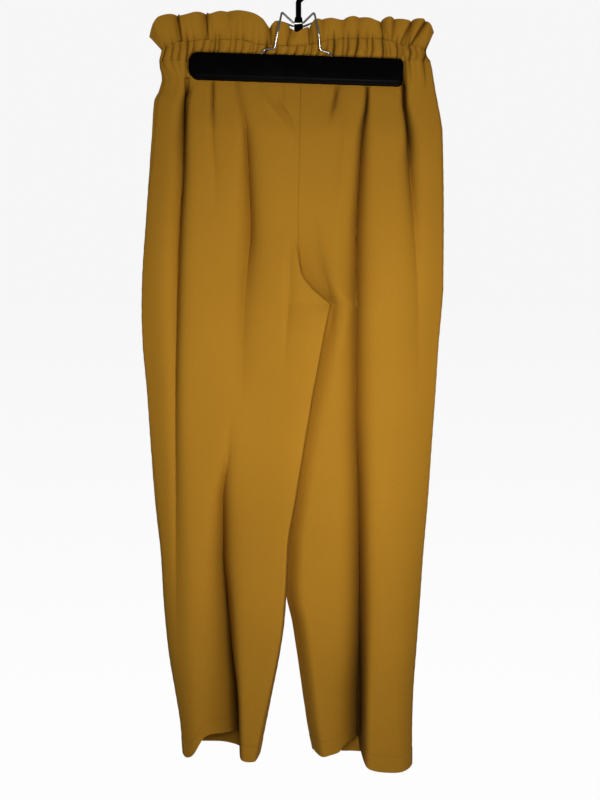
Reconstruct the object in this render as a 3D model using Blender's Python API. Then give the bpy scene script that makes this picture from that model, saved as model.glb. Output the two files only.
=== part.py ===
"""Paperbag waist trousers, clamped at the waist in a hanger that hangs by its hook.

The frame: X to the viewer's right, Y away from the viewer, Z up. The origin is where the
hook rests on its rail, under the top of the hook's bend. "Drop" is the distance below that
point. All tables and sizes are in millimetres, and MM turns them into metres.

Each cloth panel is a thin wall. Its middle surface is a stack of level sections, worked out
from the outline, the depth of the hollow cloth and the folds that run down it.
"""
import math

import bmesh
import bpy
from mathutils import Vector

MM = 0.001

# Cloth
WALL = 1.4                # thickness of every cloth wall
SEAM_GAP = 0.3            # space between two pieces at a seam
PLY_CLEARANCE = 2.3       # least distance between the middles of front and back cloth
FOLD_FADE = 9.0           # a fold dies away over this distance from a seam
PANEL_COLUMNS = 16
WAIST_COLUMNS = 44
FRILL_ROWS = 3

# Levels of the panels
WAIST_DROP = 121.0        # seam between the casing and the panels
CROTCH_DROP = 426.0
HEM_DROP = 1000.0
PANEL_DROPS = (
    WAIST_DROP, 146.0, 156.0, 168.0, 184.0, 208.0, 242.0, 290.0, 340.0, 378.0, 402.0, 417.0,
    CROTCH_DROP, 436.0, 447.0, 462.0, 490.0, 545.0, 610.0, 675.0, 740.0, 800.0, 860.0, 915.0,
    960.0, HEM_DROP,
)
CROTCH_ROW = PANEL_DROPS.index(CROTCH_DROP)

# Crotch
HOLLOW_CLOSING_DROP = 330.0   # below this the front and back centre seams come together
SEAM_TRIM = 0.2               # each panel ends this far from the centre seam
CROTCH_RELIEF = 1.2           # and this far from the crotch point, where four panels meet
OVERLAP_REACH = 75.0          # how far a leg's inner edge draws its cloth to front or back

# Hanger
BAR_LENGTH = 267.0
BAR_HEIGHT = 33.2
BAR_THICKNESS = 8.0
BAR_CORNER = 8.5
BAR_BEVEL = 1.4
BAR_CENTRE_X = -2.5
BAR_CENTRE_DROP = 132.4
BAR_TILT = math.radians(1.95)  # the right end hangs lower
BAR_INNER_FACE = 4.6           # from the middle plane to each bar
CLAMPED_DEPTH = 2.6            # from the middle plane to the clamped cloth
CLAMP_MARGIN = 8.0             # the cloth stays flat this far past the bars' ends
RELEASE_LENGTH = 52.0          # the cloth opens out over this length under the bar
WIRE_DIAMETER = 2.6
WIRE_BEND_RADIUS = 3.0
WIRE_END_SPACE = 0.35         # a wire stops this far above the bar that it enters
BLOCK_WIDTH = 11.0
BLOCK_DEPTH = 8.0
BLOCK_TOP_DROP = 65.0
BLOCK_BOTTOM_DROP = 85.0
HOOK_DIAMETER = 7.0
HOOK_INNER_RADIUS = 18.0
HOOK_X = 0.6                   # the stem stands just beside the hang point


class Table:
    """A short table with named columns, read between its rows without overshoot."""

    def __init__(self, columns, *rows):
        self.names = columns.split()
        self.rows = rows

    def read(self, name, place):
        column = self.names.index(name)
        places = [row[0] for row in self.rows]
        values = [row[column] for row in self.rows]
        if place <= places[0]:
            return values[0]
        if place >= places[-1]:
            return values[-1]
        slopes = [
            (values[i + 1] - values[i]) / (places[i + 1] - places[i]) for i in range(len(places) - 1)
        ]
        tangents = [slopes[0]]
        for before, after in zip(slopes, slopes[1:]):
            same_way = before * after > 0.0
            tangents.append(2.0 * before * after / (before + after) if same_way else 0.0)
        tangents.append(slopes[-1])
        i = max(k for k in range(len(places) - 1) if places[k] <= place)
        length = places[i + 1] - places[i]
        t = (place - places[i]) / length
        return (
            values[i] * (1.0 + 2.0 * t) * (1.0 - t) ** 2
            + tangents[i] * length * t * (1.0 - t) ** 2
            + values[i + 1] * t * t * (3.0 - 2.0 * t)
            - tangents[i + 1] * length * t * t * (1.0 - t)
        )


OUTLINE = Table(
    "drop left right",
    (94, -170, 160),
    (107, -171, 160.5),
    (121, -173.5, 166),
    (140, -170.5, 169.5),
    (156, -174, 172),
    (169, -180, 174.5),
    (184, -181.5, 177.5),
    (210, -183, 181),
    (312, -190, 182.5),
    (400, -195, 182),
    (430, -196, 180),
    (475, -193.5, 176),
    (530, -187.5, 172.5),
    (600, -182.5, 167.5),
    (671, -177, 162.5),
    (740, -168, 156.5),
    (790, -165, 153),
    (850, -160, 148.5),
    (916, -150, 143.8),
    (965, -145, 142.5),
    (1010, -143, 142.5),
)

# Centre seams, from the waist to the crotch point, and the plane in which they meet there.
CENTRE_SEAM = Table(
    "drop x meet_y",
    (121, 4, 0),
    (250, 1.5, 0),
    (321, 0, 0),
    (354, 1.3, -2),
    (386, 5, -4),
    (404, 15, -5),
    (416, 27, -5.5),
    (426, 40, -6),
)

# Inner edges of the legs under the crotch. The left leg passes in front of the right one.
INSEAM = Table(
    "drop left_x right_x left_y right_y",
    (426, 40, 40, -6, -6),
    (436, 38, 40.2, -8, -5),
    (447, 35.8, 38.5, -10, -3),
    (462, 32.5, 33, -11.5, -0.5),
    (490, 27.5, 23, -12, 2),
    (521, 21.3, 13, -12, 2.5),
    (584, 10.5, 0, -12, 2.5),
    (671, -3.8, -11, -12, 2.5),
    (722, -12, -16, -11, 2),
    (769, -13.8, -16.5, -10, 1.5),
    (791, -15, -14.5, -9, 1),
    (823, -17.5, -7, -8, 0.5),
    (850, -21.3, -2.8, -6, 0),
    (908, -31.3, 5.5, -4, 0),
    (960, -40, 14, -2, 0),
    (1000, -47.5, 27, -2, 0),
)

# How far the open cloth stands in front of and behind the middle plane, and how wide the
# round of the section is at the side seams and at the inseams.
HOLLOW = Table(
    "drop front back side_round inner_round",
    (94, 8, 8, 16, 60),
    (121, 12, 10, 20, 60),
    (153, 15, 13, 24, 60),
    (200, 18, 17, 34, 60),
    (300, 21, 21, 45, 60),
    (426, 22, 24, 50, 66),
    (600, 24, 27, 48, 60),
    (800, 27, 31, 36, 44),
    (1000, 30, 38, 20, 24),
)


class Fold:
    """A trough running down one face of the cloth, between two lines, as deep as its rows say."""

    def __init__(self, face, soft_left, soft_right, *rows):
        self.face = face
        self.soft_left = soft_left
        self.soft_right = soft_right
        self.table = Table("drop left right depth", *rows)

    def depth_at(self, x, drop):
        depth = self.table.read("depth", drop)
        if depth <= 0.0:
            return 0.0
        left = self.table.read("left", drop)
        right = self.table.read("right", drop)
        middle = 0.5 * (left + right)
        peak = self.box(middle, left, right)
        return depth * self.box(x, left, right) / peak

    def box(self, x, left, right):
        rise = 0.5 + 0.5 * math.tanh((x - left) / self.soft_left)
        fall = 0.5 + 0.5 * math.tanh((right - x) / self.soft_right)
        return rise * fall


FOLDS = {
    "left_bar_end": Fold(
        "front", 6.0, 2.0,
        (112, -141, -138, 3), (140, -142, -138.5, 9), (170, -143, -139, 12),
        (212, -145, -141, 11), (300, -150, -145, 7), (421, -154, -147, 3.5), (620, -150, -140, 0),
    ),
    "left_pleat": Fold(
        "front", 3.0, 2.0,
        (140, -109, -106, 4), (165, -110, -105, 4), (190, -112, -103, 2), (230, -114, -100, 0),
    ),
    "left_slant": Fold(
        "front", 6.0, 3.0,
        (146, -79, -75, 2), (171, -73, -67, 3), (199, -68, -60, 3.2), (237, -67, -57, 2.2),
        (334, -63, -50, 0),
    ),
    "right_slant": Fold(
        "front", 2.0, 4.0,
        (146, 49, 53, 2.5), (160, 46, 50, 3.5), (178, 39, 44, 2.5), (205, 34, 42, 0),
    ),
    "right_crease": Fold(
        "front", 6.0, 2.0,
        (112, 86, 89, 1), (146, 86, 89, 5), (181, 82, 86, 10), (222, 76, 82, 10),
        (319, 70, 78, 8.5), (421, 68, 79, 7.5), (521, 62, 75, 8), (671, 62, 76, 11),
        (796, 62, 78, 17), (921, 60, 76.5, 29), (1005, 57, 77, 38),
    ),
    "right_bar_end": Fold(
        "front", 2.0, 6.0,
        (112, 131, 134, 4), (146, 131.5, 135, 9), (189, 134, 139, 9), (246, 140, 147, 6),
        (296, 145, 154, 3.5), (360, 148, 158, 0),
    ),
    "crotch_hollow": Fold(
        "front", 5.0, 8.0,
        (320, 12, 20, 0), (396, 16, 28, 4), (430, 40, 48, 3), (470, 38, 50, 0),
    ),
    "left_leg_trough": Fold(
        "front", 8.0, 2.5,
        (540, -92, -88, 0), (671, -100, -84, 5), (796, -108, -79, 13), (921, -116, -75, 27),
        (1000, -121, -73, 36),
    ),
    "back_left_bar_end": Fold(
        "back", 2.5, 5.0,
        (112, -139, -136, 3), (146, -140, -137, 8), (200, -142, -138, 8), (300, -146, -141, 4),
        (420, -150, -144, 0),
    ),
    "back_left_pleat": Fold(
        "back", 3.0, 3.0,
        (140, -60, -57, 3), (180, -58, -53, 3), (250, -56, -48, 0),
    ),
    "back_right_pleat": Fold(
        "back", 4.0, 3.0,
        (140, 30, 33, 3), (200, 32, 37, 5), (300, 34, 42, 3), (400, 36, 46, 0),
    ),
    "back_right_bar_end": Fold(
        "back", 5.0, 2.5,
        (112, 131, 134, 3), (146, 131, 135, 8), (200, 134, 139, 7), (300, 142, 149, 3),
        (390, 146, 154, 0),
    ),
    "back_left_leg_trough": Fold(
        "back", 5.0, 7.0,
        (500, -130, -124, 0), (671, -128, -116, 5), (830, -124, -108, 10), (1000, -114, -96, 15),
    ),
    "back_right_leg_trough": Fold(
        "back", 7.0, 5.0,
        (480, 118, 122, 0), (671, 112, 122, 6), (830, 104, 120, 12), (1000, 98, 120, 18),
    ),
}

# Hems, lifted a little where the cloth is drawn in.
HEM = {
    "front": Table(
        "x drop",
        (-146, 984), (-137, 987), (-127, 984), (-119, 977), (-95, 975), (-77, 977), (-70, 986),
        (-60, 987), (-44, 985), (22, 994), (35, 993), (50, 989), (58, 986), (72, 988), (79, 994),
        (92, 1000), (115, 1001), (144, 998),
    ),
    "back": Table(
        "x drop",
        (-146, 984), (-105, 981), (-70, 985), (-44, 985), (22, 994), (60, 997), (108, 993),
        (144, 998),
    ),
}

# The stitch line between the casing and the frill.
STITCH_LINE = Table(
    "x drop",
    (-172, 106), (-142, 97), (-112, 94), (-72, 94), (-51, 100), (-2, 102.5), (17, 100),
    (45, 94), (65, 93), (106, 94), (126, 100), (162, 106),
)

# Top edge of the frill: where its free edge stands, and how far it leans out, front and back.
FRILL_EDGE = Table(
    "x drop",
    (-188, 92), (-183, 82), (-172, 69), (-150, 64), (-146, 67), (-126, 63), (-115, 61.5),
    (-109, 65), (-95, 61.5), (-77, 61), (-58, 64), (-45, 70), (-35, 79), (-27, 74), (-14, 77),
    (-8, 82), (-1, 88), (6, 84), (14, 79), (22, 71), (39, 70.5), (52, 72), (61, 69), (71, 68),
    (86, 70), (101, 74), (106, 69), (113, 68), (126, 71), (139, 73), (144, 70), (159, 71),
    (164, 76), (171, 84),
)
FRILL_FLARE = Table("x shift", (-171, -16), (-140, -6), (-90, 0), (90, 0), (135, 5), (161, 10))
FRILL_CREASES = {
    "front": (-187, -148, -113, -70, -35, 14, 58, 103, 138, 151, 172),
    "back": (-187, -152, -120, -84, -46, -10, 30, 66, 104, 142, 172),
}
FRILL_LEAN = 5.0          # how far a crease of the frill stands from the middle plane
FRILL_BULGE = 11.0        # how much further the frill stands out between two creases
CASING_GATHER = 0.8       # height of the casing's gathers
CASING_GATHER_COUNT = 21


def smooth(t):
    """Ease from 0 to 1."""
    t = min(max(t, 0.0), 1.0)
    return t * t * (3.0 - 2.0 * t)


def between(start, end, t):
    return start + (end - start) * t


def bar_bottom_drop(x):
    return BAR_CENTRE_DROP + 0.5 * BAR_HEIGHT + (x - BAR_CENTRE_X) * math.tan(BAR_TILT)


def bar_top_drop(x):
    return bar_bottom_drop(x) - BAR_HEIGHT


def pressed(x, drop):
    """How much the bars hold the cloth flat: 1 between them, 0 where it hangs free."""
    past_end = abs(x - BAR_CENTRE_X) - 0.5 * BAR_LENGTH
    sideways = 1.0 - smooth((past_end - CLAMP_MARGIN) / 6.0)
    below = 1.0 - smooth((drop - bar_bottom_drop(x)) / RELEASE_LENGTH)
    above = 1.0 - 0.5 * smooth((bar_top_drop(x) - drop) / 20.0)
    return sideways * min(below, above)


def side_edge(leg, drop):
    return OUTLINE.read(leg, drop)


def inner_edge(leg, drop):
    if drop < CROTCH_DROP:
        return CENTRE_SEAM.read("x", drop)
    return INSEAM.read(leg + "_x", drop)


def edge_plane(leg, drop):
    """The Y of the leg's inner edge, or of the place where the centre seams will meet."""
    if drop < CROTCH_DROP:
        return CENTRE_SEAM.read("meet_y", drop)
    return INSEAM.read(leg + "_y", drop)


def closing(drop):
    """How far the front and back centre seams have come together."""
    t = (drop - HOLLOW_CLOSING_DROP) / (CROTCH_DROP - HOLLOW_CLOSING_DROP)
    return 1.0 - (1.0 - min(max(t, 0.0), 1.0)) ** 1.3


def open_face(face, leg, x, drop):
    """Y of one face of the hollow cloth, before the bars press it and before its folds."""
    outward = -1.0 if face == "front" else 1.0
    half = HOLLOW.read(face, drop)
    from_side = abs(x - side_edge(leg, drop))
    from_inner = abs(inner_edge(leg, drop) - x)
    side_t = min(from_side / HOLLOW.read("side_round", drop), 1.0)
    inner_t = min(from_inner / HOLLOW.read("inner_round", drop), 1.0)
    side_rise = math.sqrt(max(1.0 - (1.0 - side_t) ** 2, 0.0))
    inner_rise = between(1.0, math.sin(0.5 * math.pi * inner_t), closing(drop))
    at_seam = 0.5 * SEAM_GAP
    if drop < CROTCH_DROP:
        at_seam += 0.5 * WALL * closing(drop) * (1.0 - inner_t)
    middle = edge_plane(leg, drop) * (1.0 - smooth(from_inner / OVERLAP_REACH))
    return middle + outward * (at_seam + (half - at_seam) * side_rise * inner_rise)


def folded_face(face, leg, x, drop):
    """Y of one face with its folds, flattened where the bars hold it."""
    outward = -1.0 if face == "front" else 1.0
    from_seam = abs(x - side_edge(leg, drop))
    if drop > HOLLOW_CLOSING_DROP:
        near_centre = abs(inner_edge(leg, drop) - x)
        relief = between(FOLD_FADE, min(near_centre, FOLD_FADE), closing(drop))
        from_seam = min(from_seam, relief)
    fade = smooth(from_seam / FOLD_FADE)
    trough = 0.0
    for fold in FOLDS.values():
        if fold.face == face:
            trough += fold.depth_at(x, drop)
    y = open_face(face, leg, x, drop) - outward * trough * fade
    return between(y, outward * CLAMPED_DEPTH, pressed(x, drop) * fade)


def cloth_y(face, leg, x, drop):
    """Y of the middle of the cloth. The front keeps clear of the back."""
    back = folded_face("back", leg, x, drop)
    if face == "back":
        return back
    front = folded_face("front", leg, x, drop)
    from_edge = abs(x - side_edge(leg, drop))
    if drop >= CROTCH_DROP:
        from_edge = min(from_edge, abs(inner_edge(leg, drop) - x))
    clearance = PLY_CLEARANCE * smooth(from_edge / 6.0) + SEAM_GAP
    return min(front, back - clearance)


def even_section(start, end, y_of, columns):
    """Points along a level section, spaced evenly along the cloth."""
    samples = 240
    fine = []
    for i in range(samples + 1):
        x = between(start, end, 0.5 - 0.5 * math.cos(math.pi * i / samples))
        fine.append((x, y_of(x)))
    lengths = [0.0]
    for a, b in zip(fine, fine[1:]):
        lengths.append(lengths[-1] + math.hypot(b[0] - a[0], b[1] - a[1]))
    points = []
    k = 0
    for j in range(columns + 1):
        target = lengths[-1] * j / columns
        while k < samples - 1 and lengths[k + 1] < target:
            k += 1
        t = (target - lengths[k]) / (lengths[k + 1] - lengths[k])
        points.append((between(fine[k][0], fine[k + 1][0], t), between(fine[k][1], fine[k + 1][1], t)))
    return points


def panel_drop(face, x, drop):
    """The real drop of a point: the hem follows its own line."""
    low = smooth((drop - 860.0) / (HEM_DROP - 860.0))
    return drop + low * (HEM[face].read("drop", x) - HEM_DROP)


def panel_grid(face, leg):
    """Rows of middle points of one panel, from the side seam to the inner seam."""
    rows = []
    for drop in PANEL_DROPS:
        start = side_edge(leg, drop)
        end = inner_edge(leg, drop)
        section = even_section(start, end, lambda x: cloth_y(face, leg, x, drop), PANEL_COLUMNS)
        rows.append([Vector((x, y, -panel_drop(face, x, drop))) for x, y in section])
    return rows


def surface_normals(rows, before, after, outward):
    """Unit normals of a grid. before and after give each row's neighbours past its two ends.

    The first and last rows have level normals, so that pieces sewn there end face to face.
    """
    normals = []
    last = len(rows) - 1
    for i, row in enumerate(rows):
        line = []
        for j, _ in enumerate(row):
            left = row[j - 1] if j > 0 else before[i]
            right = row[j + 1] if j < len(row) - 1 else after[i]
            across = (right - left).normalized()
            along = rows[i + 1][j] - rows[i - 1][j] if 0 < i < last else Vector((0.0, 0.0, -1.0))
            line.append(across.cross(along).normalized() * outward)
        normals.append(line)
    return normals


def thick_mesh(name, rows, normals):
    """A closed wall on both sides of a grid of middle points."""
    mesh = bpy.data.meshes.new(name)
    shape = bmesh.new()
    height = len(rows)
    width = len(rows[0])
    walls = []
    for offset in (0.5 * WALL, -0.5 * WALL):
        wall = []
        for points, directions in zip(rows, normals):
            wall.append([
                shape.verts.new((point + direction * offset) * MM)
                for point, direction in zip(points, directions)
            ])
        walls.append(wall)
    outer, inner = walls
    for i in range(height - 1):
        for j in range(width - 1):
            for wall in walls:
                a, b = wall[i][j], wall[i][j + 1]
                c, d = wall[i + 1][j + 1], wall[i + 1][j]
                shape.faces.new((a, b, c))
                shape.faces.new((a, c, d))
    rim = [(0, j) for j in range(width)]
    rim += [(i, width - 1) for i in range(1, height)]
    rim += [(height - 1, j) for j in range(width - 2, -1, -1)]
    rim += [(i, 0) for i in range(height - 2, 0, -1)]
    for (i, j), (k, l) in zip(rim, rim[1:] + rim[:1]):
        shape.faces.new((outer[i][j], outer[k][l], inner[k][l]))
        shape.faces.new((outer[i][j], inner[k][l], inner[i][j]))
    bmesh.ops.recalc_face_normals(shape, faces=shape.faces)
    if shape.calc_volume(signed=True) < 0.0:
        bmesh.ops.reverse_faces(shape, faces=shape.faces)
    shape.to_mesh(mesh)
    shape.free()
    return mesh


def add_object(name, mesh, material):
    mesh.materials.append(material)
    thing = bpy.data.objects.new(name, mesh)
    bpy.context.scene.collection.objects.link(thing)
    return thing


def make_material(name, colour, roughness, metallic):
    material = bpy.data.materials.new(name)
    material.use_nodes = True
    shader = material.node_tree.nodes["Principled BSDF"]
    shader.inputs["Base Color"].default_value = (*colour, 1.0)
    shader.inputs["Roughness"].default_value = roughness
    shader.inputs["Metallic"].default_value = metallic
    return material


def build_panels(cloth):
    """Two front and two back panels, each from the waist seam to its hem."""
    grids = {(face, leg): panel_grid(face, leg) for face in ("front", "back") for leg in ("left", "right")}
    other_face = {"front": "back", "back": "front"}
    other_leg = {"left": "right", "right": "left"}
    for (face, leg), rows in grids.items():
        around = grids[other_face[face], leg]
        across = grids[face, other_leg[leg]]
        before = [row[1] for row in around]
        after = [row[-2] for row in across[:CROTCH_ROW]] + [row[-2] for row in around[CROTCH_ROW:]]
        turn = 1.0 if (face == "front") == (leg == "left") else -1.0
        normals = surface_normals(rows, before, after, turn)
        towards_side = -1.0 if leg == "left" else 1.0
        trimmed = [[point.copy() for point in row] for row in rows]
        for i in range(CROTCH_ROW + 1):
            nearness = smooth((PANEL_DROPS[i] - 390.0) / (CROTCH_DROP - 390.0))
            trimmed[i][-1].x += towards_side * between(SEAM_TRIM, CROTCH_RELIEF, nearness)
        for point in trimmed[0]:
            point.z -= 0.5 * SEAM_GAP
        add_object(face + "_" + leg, thick_mesh(face + "_" + leg, trimmed, normals), cloth)


def waist_section(face, drop, columns):
    """A level section of the waist from the left side seam to the right one."""
    middle = CENTRE_SEAM.read("x", drop)

    def y_of(x):
        return cloth_y(face, "left" if x < middle else "right", x, drop)

    return even_section(side_edge("left", drop), side_edge("right", drop), y_of, columns)


def waist_grid(face):
    """Casing rows, from the stitch line under the frill to the waist seam."""
    outward = -1.0 if face == "front" else 1.0
    rows = []
    for height in (0.0, 0.5, 1.0):
        section = waist_section(face, between(100.0, WAIST_DROP, height), WAIST_COLUMNS)
        row = []
        for j, (x, y) in enumerate(section):
            at_end = smooth(min(j, WAIST_COLUMNS - j) / 3.0)
            gather = CASING_GATHER * math.sin(2.0 * math.pi * CASING_GATHER_COUNT * j / WAIST_COLUMNS)
            gather *= math.sin(math.pi * height) * at_end
            drop = between(STITCH_LINE.read("drop", x), WAIST_DROP, height)
            row.append(Vector((x, y + outward * gather, -drop)))
        rows.append(row)
    return rows


def frill_lean(face, x):
    """How far the frill's free edge stands out at x, in lobes between its creases."""
    creases = FRILL_CREASES[face]
    for start, end in zip(creases, creases[1:]):
        if start <= x <= end:
            across = math.sin(math.pi * (x - start) / (end - start))
            size = min((end - start) / 36.0, 1.0)
            return FRILL_LEAN + FRILL_BULGE * size * across ** 0.7
    return FRILL_LEAN


def frill_grid(face):
    """Frill rows, from the free edge down to the stitch line."""
    outward = -1.0 if face == "front" else 1.0
    base = waist_grid(face)[0]
    last = len(base) - 1
    rows = []
    for i in range(FRILL_ROWS + 1):
        rise = 1.0 - i / FRILL_ROWS
        row = []
        for j, foot in enumerate(base):
            at_end = smooth(min(j, last - j) / 3.0)
            x = foot.x + FRILL_FLARE.read("shift", foot.x) * rise
            edge_x = foot.x + FRILL_FLARE.read("shift", foot.x)
            y = between(foot.y, outward * frill_lean(face, edge_x) * at_end, smooth(rise) ** 0.8)
            y = y if 0 < j < last else outward * 0.5 * SEAM_GAP
            z = between(foot.z, -FRILL_EDGE.read("drop", edge_x), rise)
            row.append(Vector((x, y, z)))
        rows.append(row)
    return rows


def build_waist(cloth):
    """The casing and the frill, front and back."""
    other_face = {"front": "back", "back": "front"}
    for piece, grid_of in (("casing", waist_grid), ("frill", frill_grid)):
        grids = {face: grid_of(face) for face in ("front", "back")}
        for face, rows in grids.items():
            around = grids[other_face[face]]
            before = [row[1] for row in around]
            after = [row[-2] for row in around]
            normals = surface_normals(rows, before, after, 1.0 if face == "front" else -1.0)
            trimmed = [[point.copy() for point in row] for row in rows]
            for point in trimmed[0]:
                point.z -= 0.5 * SEAM_GAP if piece == "casing" else 0.0
            for point in trimmed[-1]:
                point.z += 0.5 * SEAM_GAP
            name = piece + "_" + face
            add_object(name, thick_mesh(name, trimmed, normals), cloth)


def build_bar(name, side, plastic):
    """One flat bar with round corners. side is -1 in front of the cloth and 1 behind it."""
    mesh = bpy.data.meshes.new(name)
    shape = bmesh.new()
    outline = []
    corner_steps = 5
    for quarter in range(4):
        sign_x = 1.0 if quarter in (0, 3) else -1.0
        sign_z = 1.0 if quarter in (0, 1) else -1.0
        centre_x = sign_x * (0.5 * BAR_LENGTH - BAR_CORNER)
        centre_z = sign_z * (0.5 * BAR_HEIGHT - BAR_CORNER)
        for step in range(corner_steps + 1):
            angle = 0.5 * math.pi * (quarter + step / corner_steps)
            outline.append((centre_x + BAR_CORNER * math.cos(angle), centre_z + BAR_CORNER * math.sin(angle)))
    levels = ((0.0, BAR_BEVEL * 0.4), (BAR_BEVEL * 0.4, 0.0), (BAR_THICKNESS - BAR_BEVEL, 0.0),
              (BAR_THICKNESS, BAR_BEVEL))
    rings = []
    for out, inset in levels:
        shrink_x = 1.0 - inset / (0.5 * BAR_LENGTH)
        shrink_z = 1.0 - inset / (0.5 * BAR_HEIGHT)
        y = side * (BAR_INNER_FACE + out)
        rings.append([shape.verts.new((x * shrink_x * MM, y * MM, z * shrink_z * MM)) for x, z in outline])
    for low, high in zip(rings, rings[1:]):
        for i in range(len(outline)):
            j = (i + 1) % len(outline)
            shape.faces.new((low[i], low[j], high[j], high[i]))
    shape.faces.new(rings[0])
    shape.faces.new(rings[-1])
    bmesh.ops.recalc_face_normals(shape, faces=shape.faces)
    shape.to_mesh(mesh)
    shape.free()
    bar = add_object(name, mesh, plastic)
    bar.location = (BAR_CENTRE_X * MM, 0.0, -BAR_CENTRE_DROP * MM)
    bar.rotation_euler = (0.0, BAR_TILT, 0.0)


def bent_rod(name, points, diameter, sides_level, material):
    """A round rod along a list of points, its two ends closed."""
    curve = bpy.data.curves.new(name, "CURVE")
    curve.dimensions = "3D"
    curve.bevel_depth = 0.5 * diameter * MM
    curve.bevel_resolution = sides_level
    curve.use_fill_caps = True
    spline = curve.splines.new("POLY")
    spline.points.add(len(points) - 1)
    for place, point in zip(spline.points, points):
        place.co = (*(point * MM), 1.0)
    curve.materials.append(material)
    rod = bpy.data.objects.new(name, curve)
    bpy.context.scene.collection.objects.link(rod)


def rounded_path(corners, radius, steps):
    """The corners joined by straight runs, each bend replaced by a round one."""
    path = [corners[0]]
    for before, corner, after in zip(corners, corners[1:], corners[2:]):
        reach = min(radius, 0.45 * (corner - before).length, 0.45 * (after - corner).length)
        start = corner + (before - corner).normalized() * reach
        end = corner + (after - corner).normalized() * reach
        for step in range(steps + 1):
            t = step / steps
            path.append(start * (1 - t) ** 2 + corner * 2 * t * (1 - t) + end * t * t)
    path.append(corners[-1])
    return path


def build_wire(name, side, steel):
    """A spring wire from the bar up, over and down the other side, past the swivel block."""
    bar_y = side * (BAR_INNER_FACE + 0.5 * BAR_THICKNESS)
    loop_y = side * 20.0
    block_y = side * (0.5 * BLOCK_DEPTH + 0.5 * WIRE_DIAMETER + SEAM_GAP)
    left_x, right_x = -45.0, 41.0
    left_foot = -bar_top_drop(left_x) + WIRE_END_SPACE
    right_foot = -bar_top_drop(right_x) + WIRE_END_SPACE
    corners = [
        Vector((left_x, bar_y, left_foot)),
        Vector((left_x, bar_y, left_foot + 3.0)),
        Vector((-41.5, bar_y, -108.0)),
        Vector((-29.0, side * 12.0, -108.0)),
        Vector((-24.5, loop_y, -88.0)),
        Vector((-20.0, side * 16.0, -64.0)),
        Vector((-5.0, block_y, -74.0)),
        Vector((6.0, block_y, -74.0)),
        Vector((20.0, side * 16.0, -64.5)),
        Vector((25.5, loop_y, -90.0)),
        Vector((27.5, side * 12.0, -109.5)),
        Vector((38.5, bar_y, -112.0)),
        Vector((right_x, bar_y, right_foot + 2.5)),
        Vector((right_x, bar_y, right_foot)),
    ]
    bent_rod(name, rounded_path(corners, WIRE_BEND_RADIUS, 2), WIRE_DIAMETER, 2, steel)


def build_block(plastic):
    """The block where the wires cross and the hook turns, rounded at its foot."""
    mesh = bpy.data.meshes.new("swivel_block")
    shape = bmesh.new()
    half = 0.5 * BLOCK_WIDTH
    outline = [(-half * 0.8, -BLOCK_TOP_DROP), (half * 0.8, -BLOCK_TOP_DROP), (half, -BLOCK_TOP_DROP - 8.0)]
    steps = 8
    for step in range(steps + 1):
        angle = -math.pi * step / steps
        outline.append((half * math.cos(angle), -BLOCK_BOTTOM_DROP + half + half * math.sin(angle)))
    outline.append((-half, -BLOCK_TOP_DROP - 8.0))
    faces = []
    for y in (-0.5 * BLOCK_DEPTH, 0.5 * BLOCK_DEPTH):
        faces.append([shape.verts.new(((HOOK_X + x) * MM, y * MM, z * MM)) for x, z in outline])
    front, back = faces
    for i in range(len(outline)):
        j = (i + 1) % len(outline)
        shape.faces.new((front[i], front[j], back[j], back[i]))
    shape.faces.new(front)
    shape.faces.new(back)
    bmesh.ops.recalc_face_normals(shape, faces=shape.faces)
    shape.to_mesh(mesh)
    shape.free()
    add_object("swivel_block", mesh, plastic)


def build_hook(plastic):
    """The stem and its round hook, whose inside top is the origin."""
    radius = HOOK_INNER_RADIUS + 0.5 * HOOK_DIAMETER
    centre_z = -HOOK_INNER_RADIUS
    points = [Vector((HOOK_X, 0.0, -BLOCK_TOP_DROP + SEAM_GAP)), Vector((HOOK_X, 0.0, -56.0))]
    bend_start = Vector((HOOK_X, 0.0, -49.0))
    first_angle = math.radians(-52.0)
    last_angle = math.radians(205.0)
    arc_start = Vector((radius * math.cos(first_angle), 0.0, centre_z + radius * math.sin(first_angle)))
    run_in = Vector((math.sin(first_angle), 0.0, -math.cos(first_angle)))
    control = arc_start + run_in * 9.0
    for step in range(7):
        t = step / 6
        points.append(bend_start * (1 - t) ** 2 + control * 2 * t * (1 - t) + arc_start * t * t)
    arc_steps = 20
    for step in range(1, arc_steps + 1):
        angle = between(first_angle, last_angle, step / arc_steps)
        points.append(Vector((radius * math.cos(angle), 0.0, centre_z + radius * math.sin(angle))))
    bent_rod("hanger_hook", points, HOOK_DIAMETER, 3, plastic)


def main():
    for thing in list(bpy.data.objects):
        bpy.data.objects.remove(thing, do_unlink=True)
    cloth = make_material("mustard cloth", (0.38, 0.18, 0.022), 0.75, 0.0)
    plastic = make_material("black plastic", (0.012, 0.012, 0.013), 0.35, 0.0)
    steel = make_material("bright steel", (0.62, 0.62, 0.62), 0.25, 1.0)
    build_panels(cloth)
    build_waist(cloth)
    build_bar("clamp_bar_front", -1.0, plastic)
    build_bar("clamp_bar_back", 1.0, plastic)
    build_wire("clamp_wire_front", -1.0, steel)
    build_wire("clamp_wire_back", 1.0, steel)
    build_block(plastic)
    build_hook(plastic)


main()
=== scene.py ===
"""Paperbag waist trousers on their clamp hanger: the looks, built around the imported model.

The frame: X to the viewer's right, Y away from the viewer, Z up. The origin is where the hook
rests on its rail. "Drop" is the distance below it. Tables and sizes of the cloth and the hanger
are in millimetres, and MM turns them into metres.

Each cloth piece is a closed thin wall. Its middle surface is a stack of level sections, worked
out from the outline, the depth of the hollow cloth and the folds that run down it.
"""
import math

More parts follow.
